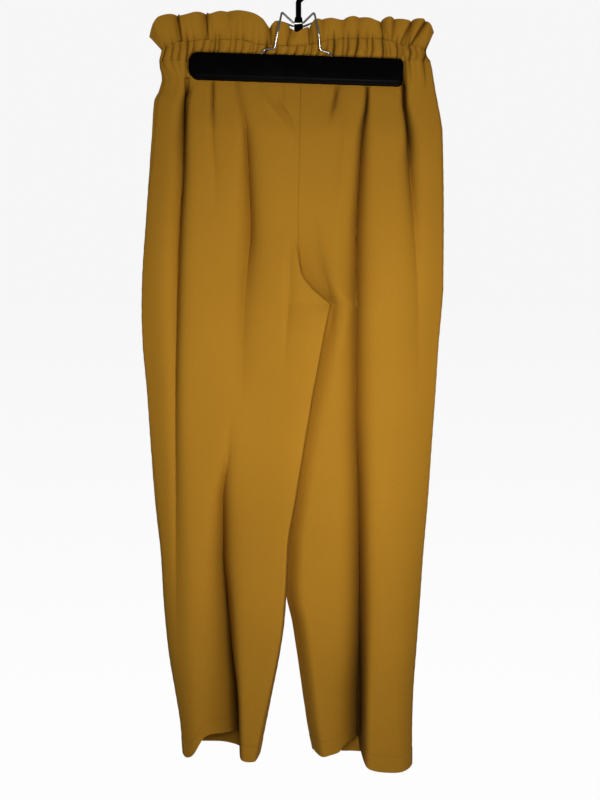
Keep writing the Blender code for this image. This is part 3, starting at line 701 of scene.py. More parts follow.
def panel_grid(face, leg, drops, sections, columns):
    """One panel, from its side seam to its centre seam and inseam, which turn round the leg."""
    other_face = "back" if face == "front" else "front"
    other_leg = "right" if leg == "left" else "left"
    sign = 1.0 if face == "front" else -1.0
    rows, tangents, places = [], [], []
    for i, drop in enumerate(drops):
        own = sections[face, leg][i]
        before = sections[other_face, leg][i][::-1]
        above_crotch = drop < CROTCH_DROP
        neighbour = sections[face, other_leg][i] if above_crotch else sections[other_face, leg][i]
        path = np.concatenate((before[:-1], own, neighbour[::-1][1:]))
        lengths = path_lengths(path)
        zero = lengths[len(before) - 1]
        total = lengths[len(before) + len(own) - 2] - zero
        start = sign * float(SEAM_TURN.read(leg + "_side", drop))
        end = total - sign * float(SEAM_TURN.read(leg + "_inner", drop))
        gap = 0.5 * SEAM_GAP
        along = spread(start + gap, end - gap, columns)
        step = 0.6
        ahead = read_path(path, lengths, zero + along + step)
        behind = read_path(path, lengths, zero + along - step)
        middle = read_path(path, lengths, zero + along)
        x, y = middle.T
        rows.append(np.column_stack((x, y, -panel_drop(face, x, drop))))
        across = np.column_stack((ahead - behind, np.zeros(len(x))))
        tangents.append(across / np.linalg.norm(across, axis=1, keepdims=True))
        places.append(along)
    return ClothGrid(np.array(rows), np.array(tangents), np.array(places))


def gather_lines(length, piece_seed):
    """Uneven places of the gathers' furrows along a piece, how each one slants, and its size."""
    rng = np.random.default_rng(cloth_settings().gather_seed + piece_seed)
    spacing = cloth_settings().gather_spacing / MM
    places = [0.0]
    slants = [0.0]
    while places[-1] < length + 2.0 * spacing:
        places.append(places[-1] + spacing * rng.uniform(0.25, 1.75))
        slants.append(0.75 * slants[-1] + rng.uniform(-3.8, 2.8))
    sizes = rng.uniform(0.3, 1.1, len(places)) ** 1.6 * 1.2
    return np.array(places) - 0.6 * spacing, np.array(slants), sizes


def gather_rise(place, height, lines):
    """Height from 0 to 1 of the gathers. height runs from -0.5 to 0.5 across the casing."""
    furrows, slants, _ = lines
    rise = np.zeros(place.shape)
    for i in range(place.shape[0]):
        moved = np.sort(furrows + slants * float(height[i]))
        k = np.clip(np.searchsorted(moved, place[i]) - 1, 0, len(moved) - 2)
        width = moved[k + 1] - moved[k]
        t = np.clip((place[i] - moved[k]) / np.maximum(width, 0.1), 0.0, 1.0)
        rise[i] = np.maximum(4.0 * t * (1.0 - t), 0.0) ** 0.55 * np.minimum(width / 9.0, 1.1)
    return rise


def furrow_shade(place, height, away, lines):
    """Painted shade from 0 to 1 in the furrows, dying away over their length from the gathered seam."""
    furrows, slants, sizes = lines
    shade = np.zeros(place.shape)
    for i in range(place.shape[0]):
        moved = furrows + slants * float(height[i])
        strength = sizes * np.clip(1.0 - float(away[i]) / (3.0 + 11.0 * sizes), 0.0, 1.0) ** 0.7
        nearness = np.exp(-np.abs(place[i][:, None] - moved[None, :]) / (0.4 + 0.6 * strength))
        shade[i] = np.max(strength * nearness, axis=1)
    return np.minimum(shade, 1.0)


# ---------------------------------------------------------------------------- meshes


def grid_mesh(name, middle, normal, offset_out, offset_in, uv, marks, turn):
    """A closed wall round a grid of middle points. Its two sides share the points of the rim.

    marks holds named values from 0 to 1 at every point of the grid.
    """
    rows, columns = middle.shape[:2]
    outer = middle + normal * offset_out[..., None]
    inner = middle - normal * offset_in[..., None]
    number = np.arange(rows * columns).reshape(rows, columns)
    rim = np.zeros((rows, columns), dtype=bool)
    rim[0] = rim[-1] = True
    rim[:, 0] = rim[:, -1] = True
    inner_number = number.copy()
    inner_number[~rim] = rows * columns + np.arange(np.count_nonzero(~rim))
    points = np.concatenate((outer.reshape(-1, 3), inner[~rim])) * MM
    flat_uv = np.concatenate((uv.reshape(-1, 2), uv[~rim])) * MM

    def quads(numbers, forward):
        corners = [numbers[:-1, :-1], numbers[:-1, 1:], numbers[1:, 1:], numbers[1:, :-1]]
        if not forward:
            corners.reverse()
        return np.stack([corner.reshape(-1) for corner in corners], axis=1)

    forward = turn > 0.0
    faces = np.concatenate((quads(number, forward), quads(inner_number, not forward)))
    mesh = bpy.data.meshes.new(name)
    mesh.from_pydata(points.tolist(), [], faces.tolist())
    loops = np.empty(len(mesh.loops), dtype=np.int32)
    mesh.loops.foreach_get("vertex_index", loops)
    layer = mesh.uv_layers.new(name="Cloth")
    layer.data.foreach_set("uv", flat_uv[loops].astype(np.float32).reshape(-1))
    for mark, values in marks.items():
        attribute = mesh.attributes.new(mark, "FLOAT", "POINT")
        both_sides = np.concatenate((values.reshape(-1), values[~rim]))
        attribute.data.foreach_set("value", np.clip(both_sides, 0.0, 1.0).astype(np.float32))
    mesh.shade_smooth()
    return mesh


def edge_distance(places, levels):
    """Distance of each grid point from its nearest border, and from its two ends, in millimetres."""
    ends = np.minimum(places - places[:, :1], places[:, -1:] - places)
    borders = np.minimum(levels - levels[:1], levels[-1:] - levels)
    return np.minimum(ends, borders), ends


def round_edge(distance):
    """Share of the wall's thickness at a distance from its border."""
    t = np.clip(distance / EDGE_ROUND, 0.0, 1.0)
    return np.sqrt(1.0 - (1.0 - t) ** 2)


def add_piece(name, mesh, material):
    """Link a finished piece that rides on the one body."""
    mesh.materials.clear()
    mesh.materials.append(material)
    piece = bpy.data.objects.new(name, mesh)
    bpy.context.scene.collection.objects.link(piece)
    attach(piece, "root")
    return piece


# ---------------------------------------------------------------------------- materials


class NodeTree:
    """Short calls for a material's nodes."""

    def __init__(self, name):
        self.material = bpy.data.materials.new(name)
        self.material.use_nodes = True
        self.tree = self.material.node_tree
        self.shader = self.tree.nodes["Principled BSDF"]

    def node(self, kind, settings=None, **inputs):
        made = self.tree.nodes.new(kind)
        for key, value in (settings or {}).items():
            setattr(made, key, value)
        for key, value in inputs.items():
            self.feed(made.inputs[key.replace("_", " ")], value)
        return made

    def feed(self, socket, value):
        if isinstance(value, bpy.types.NodeSocket):
            self.tree.links.new(value, socket)
        else:
            socket.default_value = value

    def maths(self, operation, first, second):
        made = self.tree.nodes.new("ShaderNodeMath")
        made.operation = operation
        self.feed(made.inputs[0], first)
        self.feed(made.inputs[1], second)
        return made.outputs[0]

    def ramp(self, factor, low, high, start=0.0, end=1.0):
        """The factor stretched from start..end to low..high."""
        made = self.node("ShaderNodeMapRange", Value=factor)
        for key, value in zip(("From Min", "From Max", "To Min", "To Max"), (start, end, low, high)):
            made.inputs[key].default_value = value
        return made.outputs["Result"]

    def noise(self, vector, scale, detail, roughness=0.5):
        made = self.node("ShaderNodeTexNoise", Vector=vector, Scale=scale, Detail=detail)
        made.inputs["Roughness"].default_value = roughness
        return made.outputs["Fac"]

    def mix(self, factor, first, second, blend="MIX"):
        made = self.node("ShaderNodeMix", {"data_type": "RGBA", "blend_type": blend})
        self.feed(made.inputs[0], factor)
        self.feed(made.inputs[6], first)
        self.feed(made.inputs[7], second)
        return made.outputs[2]

    def bump(self, height, distance, strength, below=None):
        made = self.node("ShaderNodeBump", Height=height, Distance=distance, Strength=strength)
        if below is not None:
            self.feed(made.inputs["Normal"], below)
        return made.outputs["Normal"]


def shaded(colour, factor):
    return tuple(channel * factor for channel in colour) + (1.0,)


# Painted shade: the deepest creases are coloured this much darker, standing in for the shade that falls
# there.
PAINTED_CREASE_SHADE = (0.07, 0.045, 0.01)   # share of the cloth's colour left in the deepest creases


def cloth_material(name, colour, seam_darkness):
    """A matt crepe with a fine diagonal rib, on the piece's own map in metres, with shade painted into
    its creases.
    """
    tree = NodeTree(name)
    cloth_map = tree.node("ShaderNodeTexCoord").outputs["UV"]
    place = tree.node("ShaderNodeTexCoord").outputs["Object"]
    cloudy = tree.noise(place, 7.0, 3.0)
    mottle = tree.noise(cloth_map, 260.0, 3.0, 0.6)
    yarn = tree.noise(cloth_map, 1500.0, 2.0, 0.55)
    turned = tree.node("ShaderNodeMapping", Vector=cloth_map)
    turned.inputs["Rotation"].default_value = (0.0, 0.0, math.radians(38.0))
    rib = tree.node("ShaderNodeTexWave", Vector=turned.outputs["Vector"], Scale=420.0, Distortion=1.6)
    rib.inputs["Detail"].default_value = 1.0
    seam = tree.node("ShaderNodeAttribute", {"attribute_name": "seam"}).outputs["Fac"]
    crease = tree.node("ShaderNodeAttribute", {"attribute_name": "crease"}).outputs["Fac"]
    painted_crease_colour = tuple(channel * part for channel, part in zip(colour, PAINTED_CREASE_SHADE)) + (1.0,)

    shade = tree.mix(tree.ramp(cloudy, 0.0, 1.0, 0.3, 0.7), shaded(colour, 0.95), shaded(colour, 1.05))
    shade = tree.mix(tree.ramp(mottle, 0.0, 0.5, 0.35, 0.65), shade, shaded(colour, 0.93))
    shade = tree.mix(tree.ramp(yarn, 0.0, 0.30, 0.35, 0.7), shade, shaded(colour, 0.86))
    shade = tree.mix(tree.maths("MULTIPLY", seam, seam_darkness), shade, shaded(colour, 0.55))
    # Painted shade: the crease mark darkens the colour towards the near-black crease colour.
    shade = tree.mix(crease, shade, painted_crease_colour)
    tree.feed(tree.shader.inputs["Base Color"], shade)
    tree.feed(tree.shader.inputs["Roughness"], tree.ramp(mottle, 0.74, 0.86, 0.3, 0.7))
    tree.shader.inputs["Specular IOR Level"].default_value = 0.05
    tree.shader.inputs["Sheen Weight"].default_value = 0.02
    tree.shader.inputs["Sheen Roughness"].default_value = 0.45
    tree.shader.inputs["Sheen Tint"].default_value = (1.0, 0.72, 0.30, 1.0)
    yarns = tree.maths("MULTIPLY", yarn, 0.7)
    ribs = tree.maths("MULTIPLY", rib.outputs["Fac"], 0.3)
    weave = tree.maths("ADD", yarns, ribs)
    fine = tree.bump(weave, 0.00022, 0.55)
    tree.feed(tree.shader.inputs["Normal"], tree.bump(mottle, 0.0004, 0.35, fine))
    return tree.material


def thread_material(name, colour):
    """Twisted sewing thread."""
    tree = NodeTree(name)
    place = tree.node("ShaderNodeTexCoord").outputs["Object"]
    twist = tree.noise(place, 2400.0, 1.0)
    shade = tree.mix(tree.ramp(twist, 0.0, 1.0, 0.35, 0.65), shaded(colour, 0.85), shaded(colour, 1.15))
    tree.feed(tree.shader.inputs["Base Color"], shade)
    tree.shader.inputs["Roughness"].default_value = 0.6
    tree.feed(tree.shader.inputs["Normal"], tree.bump(twist, 0.0002, 0.5))
    return tree.material


def plastic_material(name, colour):
    """Moulded black plastic with a faint grain and a few worn, duller patches."""
    tree = NodeTree(name)
    place = tree.node("ShaderNodeTexCoord").outputs["Object"]
    grain = tree.noise(place, 1300.0, 2.0)
    wear = tree.noise(place, 38.0, 4.0, 0.6)
    shade = tree.mix(tree.ramp(wear, 0.0, 1.0, 0.45, 0.75), shaded(colour, 1.0), shaded(colour, 1.9))
    tree.feed(tree.shader.inputs["Base Color"], shade)
    tree.feed(tree.shader.inputs["Roughness"], tree.ramp(wear, 0.36, 0.52, 0.35, 0.7))
    tree.shader.inputs["Specular IOR Level"].default_value = 0.035
    tree.feed(tree.shader.inputs["Normal"], tree.bump(grain, 0.00012, 0.35))
    return tree.material


def steel_material(name, colour):
    """Bright spring steel, drawn to a wire and a little tarnished."""
    tree = NodeTree(name)
    place = tree.node("ShaderNodeTexCoord").outputs["Object"]
    tarnish = tree.noise(place, 160.0, 3.0)
    drawn = tree.noise(place, 1800.0, 1.0)
    shade = tree.mix(tree.ramp(tarnish, 0.0, 1.0, 0.4, 0.75), shaded(colour, 1.0), shaded(colour, 0.6))
    tree.feed(tree.shader.inputs["Base Color"], shade)
    tree.shader.inputs["Metallic"].default_value = 1.0
    tree.feed(tree.shader.inputs["Roughness"], tree.ramp(tarnish, 0.16, 0.34, 0.35, 0.7))
    tree.feed(tree.shader.inputs["Normal"], tree.bump(drawn, 0.0001, 0.3))
    return tree.material


def finish(name):
    """The material of that name, made on first use."""
    known = bpy.data.materials.get(name)
    if known:
        return known
    cloth, hanger = cloth_settings(), hanger_settings()
    if name == "mustard crepe":
        return cloth_material(name, cloth.colour, 0.55)
    if name == "sewing thread":
        return thread_material(name, cloth.thread_colour)
    if name == "black moulding":
        return plastic_material(name, hanger.plastic_colour)
    return steel_material(name, hanger.steel_colour)


# ---------------------------------------------------------------------------- leg panels

PANELS = (("front", "left"), ("front", "right"), ("back", "left"), ("back", "right"))
PANEL_COLUMNS = 132
GATHER_SEEDS = {"front": 3, "back": 5}
PANEL_GATHER_LENGTH = 15.0    # the casing's gathers die away over this length of a panel


def pucker(along, ends):
    """Short ripples across a seam that die away beside it."""
    wave = np.sin(along / 2.9) + 0.6 * np.sin(along / 1.7 + 1.3)
    return 0.10 * wave * bump(ends, 5.0)


def build_panel(face, leg, drops, sections):
    cloth = cloth_settings()
    wall = 0.5 * cloth.wall / MM
    grid = panel_grid(face, leg, drops, sections, PANEL_COLUMNS)
    turn = 1.0 if (face == "front") != (leg == "left") else -1.0
    normal = grid.outward(turn)
    levels = np.repeat(drops[:, None], grid.place.shape[1], axis=1)
    distance, ends = edge_distance(grid.place, levels)
    x = grid.points[..., 0]
    waist_length = sum(path_lengths(sections[face, each][0])[-1] for each in ("left", "right"))
    from_left = grid.place[0] if leg == "left" else waist_length - grid.place[0]
    from_left = np.broadcast_to(from_left, grid.place.shape)
    lines = gather_lines(waist_length, GATHER_SEEDS[face])
    below_seam = levels - WAIST_DROP
    slide = np.full(len(drops), 0.5)
    free = 1.0 - pressed(x, levels)
    fading = np.exp(-below_seam / PANEL_GATHER_LENGTH)
    gathers = (gather_rise(from_left, slide, lines) - 0.45) * 3.0 * fading
    gathers = gathers * smooth(ends / 6.0) * free
    # Painted shade in the furrows of the gathers, down the top of the panel.
    pleat_shade = furrow_shade(from_left, slide, 0.45 * (drops - WAIST_DROP), lines) * free
    seam_dip = -0.12 * bump(ends, 1.8)
    hem_top = HEM_DROP - cloth.hem_depth / MM
    turned_up = smooth((levels - hem_top + 0.6) / 1.2)
    stitch_dip = bump(levels - hem_top - 1.0, 1.1)
    relief = gathers + seam_dip + pucker(levels, ends)
    middle = grid.points + normal * relief[..., None]
    thickness = wall * round_edge(distance)
    offset_out = thickness + (0.30 * turned_up - 0.22 * stitch_dip) * round_edge(distance)
    offset_in = thickness + 0.25 * turned_up * round_edge(distance)
    seams = np.maximum(0.15 * bump(ends, 0.6), bump(grid.place - grid.place[:, :1], 0.9))
    # The crease mark is painted shade, from the folds and the gathers' furrows.
    marks = {
        "seam": np.maximum(seams, 0.35 * bump(levels - hem_top, 0.8)),
        "crease": np.maximum(fold_shade(face, x, levels), 0.7 * pleat_shade),
    }
    uv = np.stack((grid.place, levels), axis=2)
    name = face + "_" + leg + "_panel"
    mesh = grid_mesh(name, middle, normal, offset_out, offset_in, uv, marks, turn)
    piece = add_piece(name, mesh, finish("mustard crepe"))
    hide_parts(face + "_" + leg)


class TROUSERS_OT_panels(bpy.types.Operator):
    """Make the two front and two back panels of the legs"""

    bl_idname = "trousers.panels"
    bl_label = "Leg Panels"

    def execute(self, context):
        drops = panel_levels()
        sections = level_sections(drops)
        for face, leg in PANELS:
            build_panel(face, leg, drops, sections)
        return {"FINISHED"}


# ---------------------------------------------------------------------------- casing and frill

WAIST_STEPS = 560
CASING_LEVELS = 22
FRILL_LEVELS = 30
WRAP_POINTS = 40              # a waist row is continued round each side seam by this many points
CASING_HEIGHT = 25.0          # along the cloth's own map
FRILL_HEIGHT = 33.0           # along the cloth's own map
CASING_TOP_DROP = 96.0        # where the bars' hold on the casing is first read
STITCH_SECTION_DROP = 100.0   # the level section that stands for the whole stitch line
GATHERED_WEAVE = 1.8          # the map runs this much faster along gathered cloth
FRILL_LEFT_END = -188.0
FRILL_RIGHT_END = 172.0
FULL_LOBE_WIDTH = 30.0        # a lobe of the frill this wide bulges fully


def waist_path(face, drop):
    """A level section of one face of the waist, from the left side seam to the right one."""
    left = level_sections(np.array([drop]))[face, "left"][0]
    right = level_sections(np.array([drop]))[face, "right"][0]
    return np.concatenate((left, right[::-1][1:]))


def waist_row(face, drop):
    """Points, unit vectors along them, and places, at one level of the waist."""
    path = waist_path(face, drop)
    other = waist_path("back" if face == "front" else "front", drop)
    closed = np.concatenate((other[::-1][-WRAP_POINTS:-1], path, other[::-1][1:WRAP_POINTS]))
    lengths = path_lengths(closed)
    zero = lengths[WRAP_POINTS - 1]
    total = path_lengths(path)[-1]
    gap = 0.5 * SEAM_GAP
    places = spread(gap, total - gap, WAIST_STEPS)
    middle = read_path(closed, lengths, zero + places)
    across = read_path(closed, lengths, zero + places + 0.5)
    across -= read_path(closed, lengths, zero + places - 0.5)
    across /= np.linalg.norm(across, axis=1, keepdims=True)
    return middle, np.column_stack((across, np.zeros(len(places)))), places


def build_casing(face):
    """The band with the elastic in it, gathered all along."""
    cloth = cloth_settings()
    wall = 0.5 * cloth.wall / MM
    heights = spread(0.0, CASING_HEIGHT, CASING_LEVELS) / CASING_HEIGHT
    rows, tangents, places = [], [], []
    for height in heights:
        middle, across, place = waist_row(face, between(STITCH_SECTION_DROP, WAIST_DROP, height))
        top = STITCH_LINE.read("drop", middle[:, 0]) + 0.5 * SEAM_GAP
        drop = between(top, WAIST_DROP - 0.5 * SEAM_GAP, height)
        rows.append(np.column_stack((middle, -drop)))
        tangents.append(across)
        places.append(place)
    grid = ClothGrid(np.array(rows), np.array(tangents), np.array(places))
    turn = 1.0 if face == "back" else -1.0
    normal = grid.outward(turn)
    levels = np.repeat(heights[:, None] * CASING_HEIGHT, grid.place.shape[1], axis=1)
    distance, ends = edge_distance(grid.place, levels)
    lines = gather_lines(grid.place[0][-1], GATHER_SEEDS[face])
    rise = gather_rise(grid.place, heights - 0.5, lines)
    tall = heights[:, None]
    strength = between(0.6, 0.9, tall) + 0.3 * np.sin(math.pi * tall)
    relief = cloth.gather_height / MM * (rise - 0.45) * 1.9 * strength * smooth(ends / 5.0)
    x = grid.points[..., 0]
    for top_x, bottom_x, depth in CASING_CREASES[face]:
        line = between(top_x, bottom_x, tall)
        relief = relief - depth * bump(x - line, 1.1) * np.sin(math.pi * tall) ** 0.6
    held = pressed(x, levels + CASING_TOP_DROP)
    relief = relief * (1.0 - 0.75 * held * smooth((levels - 14.0) / 6.0))
    middle = grid.points + normal * relief[..., None]
    thickness = wall * round_edge(distance)
    # Painted shade in the furrows of the gathers.
    furrows = furrow_shade(grid.place, heights - 0.5, np.zeros(len(heights)), lines)
    marks = {"seam": np.zeros(levels.shape), "crease": 0.9 * furrows}
    uv = np.stack((grid.place * GATHERED_WEAVE, levels), axis=2)
    name = "casing_" + face + "_band"
    mesh = grid_mesh(name, middle, normal, thickness, thickness, uv, marks, turn)
    piece = add_piece(name, mesh, finish("mustard crepe"))
    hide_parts("casing_" + face)


def frill_lean(face, edge_x, foot_x, rise):
    """How far the frill stands out: broad lobes, with creases cut into them, and the shade painted into
    those creases.
    """
    creases = FRILL_CREASES[face]
    stops = [FRILL_LEFT_END] + [crease[0] for crease in creases] + [FRILL_RIGHT_END]
    lean = np.zeros(edge_x.shape)
    for start, end in zip(stops, stops[1:]):
        inside = (edge_x >= start) & (edge_x < end)
        t = np.clip((edge_x - start) / (end - start), 0.0, 1.0)
        size = min((end - start) / FULL_LOBE_WIDTH, 1.0)
        lean = np.where(inside, FRILL_LEAN + FRILL_BULGE * size * np.sin(math.pi * t), lean)
    lean = np.maximum(lean, FRILL_LEAN)
    cut = np.zeros(edge_x.shape)
    shade = np.zeros(edge_x.shape)
    for top_x, bottom_x, soft_left, soft_right, depth in creases:
        line = between(bottom_x, top_x, rise)
        x = between(foot_x, edge_x, rise)
        soft = np.where(x < line, soft_left, soft_right)
        reach = depth * np.exp(-np.abs(x - line) / soft)
        cut = np.maximum(cut, reach * (0.5 + 0.5 * smooth(rise * 1.6)))
        # Painted shade along the deeper creases.
        darkness = min(max((depth - 4.0) / 9.0, 0.0), 1.0) * (0.5 + 0.5 * rise)
        shade = np.maximum(shade, darkness * np.exp(-np.abs(x - line) / (0.18 * soft + 0.75)))
    return lean, cut, shade


def build_frill(face):
    """The standing frill over the casing, from its free edge down to the stitch line."""
    cloth = cloth_settings()
    wall = 0.5 * cloth.wall / MM
    outward = -1.0 if face == "front" else 1.0
    base, across, place = waist_row(face, STITCH_SECTION_DROP)
    foot_x, foot_y = base.T
    foot_drop = STITCH_LINE.read("drop", foot_x) - 0.5 * SEAM_GAP
    edge_x = foot_x + FRILL_FLARE.read("shift", foot_x)
    edge_drop = FRILL_EDGE.read("drop", edge_x)
    ends = np.minimum(place - place[0], place[-1] - place)
    at_end = smooth(ends / 9.0)
    depths = spread(0.0, FRILL_HEIGHT, FRILL_LEVELS) / FRILL_HEIGHT
    lines = gather_lines(place[-1], GATHER_SEEDS[face])
    rows, shades = [], []
    for down in depths:
        rise = 1.0 - down
        x = foot_x + FRILL_FLARE.read("shift", foot_x) * rise
        lean, cut, shade = frill_lean(face, edge_x, foot_x, rise)
        stand = between(np.abs(foot_y), lean * at_end + 0.5 * SEAM_GAP, smooth(rise) ** 0.8)
        stand = stand - np.minimum(cut, np.maximum(stand - FRILL_CREASE_FLOOR, 0.0)) * at_end
        height = np.array([-0.5 - 0.3 * rise])
        gather = gather_rise(place[None, :], height, lines)[0]
        gather = (gather - 0.45) * 1.8 * (cloth.gather_height / MM) * math.exp(-rise / 0.30)
        flutter = 0.5 * np.sin(edge_x / 4.3 + 1.7 * np.sin(edge_x / 19.0)) * rise ** 1.5
        stand = stand + (gather + flutter) * at_end
        floor = np.minimum(2.2, 0.5 * SEAM_GAP + ends * 0.6)
        y = outward * np.maximum(stand, floor)
        z = -between(foot_drop, edge_drop, rise)
        rows.append(np.column_stack((x, y, z)))
        # Painted shade in the gathers' furrows at the frill's foot.
        wedge_shade = furrow_shade(place[None, :], height, np.array([FRILL_HEIGHT * rise]), lines)
        shades.append(np.maximum(shade, 0.9 * wedge_shade[0]))
    points = np.array(rows)
    across = np.gradient(points, axis=1)
    across /= np.linalg.norm(across, axis=2, keepdims=True)
    places = np.repeat(place[None, :], len(depths), axis=0)
    grid = ClothGrid(points, across, places)
    turn = 1.0 if face == "back" else -1.0
    normal = grid.outward(turn)
    levels = np.repeat(depths[:, None] * FRILL_HEIGHT, len(place), axis=1)
    distance, _ = edge_distance(places, levels)
    rolled = 0.25 * bump(levels, 2.2) * round_edge(distance)
    thickness = wall * round_edge(distance) + rolled
    marks = {"seam": np.zeros(levels.shape), "crease": np.array(shades)}
    uv = np.stack((places * GATHERED_WEAVE, levels), axis=2)
    name = "frill_" + face + "_ruffle"
    mesh = grid_mesh(name, points, normal, thickness, thickness, uv, marks, turn)
    piece = add_piece(name, mesh, finish("mustard crepe"))
    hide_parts("frill_" + face)


class TROUSERS_OT_casings(bpy.types.Operator):
    """Make the gathered casing, front and back"""

    bl_idname = "trousers.casings"
    bl_label = "Casing"

    def execute(self, context):
        for face in ("front", "back"):
            build_casing(face)
        return {"FINISHED"}


class TROUSERS_OT_frills(bpy.types.Operator):
    """Make the standing frill, front and back"""

    bl_idname = "trousers.frills"
    bl_label = "Frill"

    def execute(self, context):
        for face in ("front", "back"):
            build_frill(face)
        return {"FINISHED"}


# ---------------------------------------------------------------------------- stitching


def stitch_tree():
    """Geometry Nodes: one thread capsule at every pitch along the lines it is given."""
    tree = bpy.data.node_groups.new("Stitch row", "GeometryNodeTree")
    face = tree.interface
    face.new_socket("Lines", in_out="INPUT", socket_type="NodeSocketGeometry")
    for name in ("Pitch", "Length", "Thread"):
        face.new_socket(name, in_out="INPUT", socket_type="NodeSocketFloat")
    face.new_socket("Material", in_out="INPUT", socket_type="NodeSocketMaterial")
    face.new_socket("Stitches", in_out="OUTPUT", socket_type="NodeSocketGeometry")
    nodes, links = tree.nodes, tree.links
    given = nodes.new("NodeGroupInput")
    result = nodes.new("NodeGroupOutput")
    curve = nodes.new("GeometryNodeMeshToCurve")
    spaced = nodes.new("GeometryNodeResampleCurve")
    spaced.mode = "LENGTH"
    tangent = nodes.new("GeometryNodeInputTangent")
    aim = nodes.new("FunctionNodeAlignRotationToVector")
    aim.axis = "X"
    capsule = nodes.new("GeometryNodeMeshUVSphere")
    capsule.inputs["Segments"].default_value = 6
    capsule.inputs["Rings"].default_value = 5
    capsule.inputs["Radius"].default_value = 0.5
    size = nodes.new("ShaderNodeCombineXYZ")
    place = nodes.new("GeometryNodeInstanceOnPoints")
    real = nodes.new("GeometryNodeRealizeInstances")
    paint = nodes.new("GeometryNodeSetMaterial")
    for source, output, target, socket in (
        (given, "Lines", curve, "Mesh"), (curve, "Curve", spaced, "Curve"),
        (given, "Pitch", spaced, "Length"), (tangent, "Tangent", aim, "Vector"),
        (given, "Length", size, "X"), (given, "Thread", size, "Y"), (given, "Thread", size, "Z"),
        (spaced, "Curve", place, "Points"), (capsule, "Mesh", place, "Instance"),
        (aim, "Rotation", place, "Rotation"), (size, "Vector", place, "Scale"),
        (place, "Instances", real, "Geometry"), (real, "Geometry", paint, "Geometry"),
        (given, "Material", paint, "Material"), (paint, "Geometry", result, "Stitches"),
    ):
        links.new(source.outputs[output], target.inputs[socket])
    return tree


def surface_line(piece_name, columns, row):
    """Points along one row of a cloth piece's outer side."""
    mesh = bpy.data.objects[piece_name].data
    points = np.empty(len(mesh.vertices) * 3)
    mesh.vertices.foreach_get("co", points)
    return points.reshape(-1, 3)[row * columns:(row + 1) * columns][2:-2]


def sew(name, line):
    """A stitched seam: the line goes through the stitch tree and comes out as one mesh."""
    cloth = cloth_settings()
    edges = [(i, i + 1) for i in range(len(line) - 1)]
    guide = bpy.data.meshes.new(name + "_guide")
    guide.from_pydata(line.tolist(), edges, [])
    thing = bpy.data.objects.new(name + "_guide", guide)
    bpy.context.scene.collection.objects.link(thing)
    tree = bpy.data.node_groups.get("Stitch row") or stitch_tree()
    modifier = thing.modifiers.new("Stitches", "NODES")
    modifier.node_group = tree
    items = tree.interface.items_tree
    sockets = {item.name: item.identifier for item in items if item.in_out == "INPUT"}
    modifier[sockets["Pitch"]] = cloth.stitch_pitch
    modifier[sockets["Length"]] = cloth.stitch_length
    modifier[sockets["Thread"]] = cloth.thread
    modifier[sockets["Material"]] = finish("sewing thread")
    deps = bpy.context.evaluated_depsgraph_get()
    mesh = bpy.data.meshes.new_from_object(thing.evaluated_get(deps))
    mesh.name = name
    mesh.shade_smooth()
    bpy.data.objects.remove(thing)
    bpy.data.meshes.remove(guide)
    add_piece(name, mesh, finish("sewing thread"))


class TROUSERS_OT_stitching(bpy.types.Operator):
    """Sew the rows of stitches over the casing and round the hems"""

    bl_idname = "trousers.stitching"
    bl_label = "Stitching"

    def execute(self, context):
        drops = panel_levels()
        hem_top = HEM_DROP - cloth_settings().hem_depth / MM
        hem_row = int(np.argmin(np.abs(drops - hem_top - 0.8)))
        for face, leg in PANELS:
            line = surface_line(face + "_" + leg + "_panel", PANEL_COLUMNS + 1, hem_row)
            sew("hem_stitches_" + face + "_" + leg, line)
        for face in ("front", "back"):
            line = surface_line("casing_" + face + "_band", WAIST_STEPS + 1, 3)
            sew("casing_stitches_" + face, line)
        return {"FINISHED"}


# ---------------------------------------------------------------------------- hanger


def bar_outline(inset_top, inset_bottom, inset_side, steps=9):
    """Points round a bar's face, with a corner radius of its own at each end."""
    half_x = 0.5 * BAR_LENGTH - inset_side
    top = 0.5 * BAR_HEIGHT - inset_top
    bottom = -0.5 * BAR_HEIGHT + inset_bottom
    outline = []
    for quarter in range(4):
        right = quarter in (0, 3)
        upper = quarter in (0, 1)
        radius = max((BAR_RIGHT_CORNER if right else BAR_LEFT_CORNER) - inset_side, 1.0)
        centre_x = (half_x - radius) if right else -(half_x - radius)
        centre_z = (top - radius) if upper else (bottom + radius)
        for step in range(steps + 1):
            angle = 0.5 * math.pi * (quarter + step / steps)
            outline.append((centre_x + radius * math.cos(angle), centre_z + radius * math.sin(angle)))
    return outline


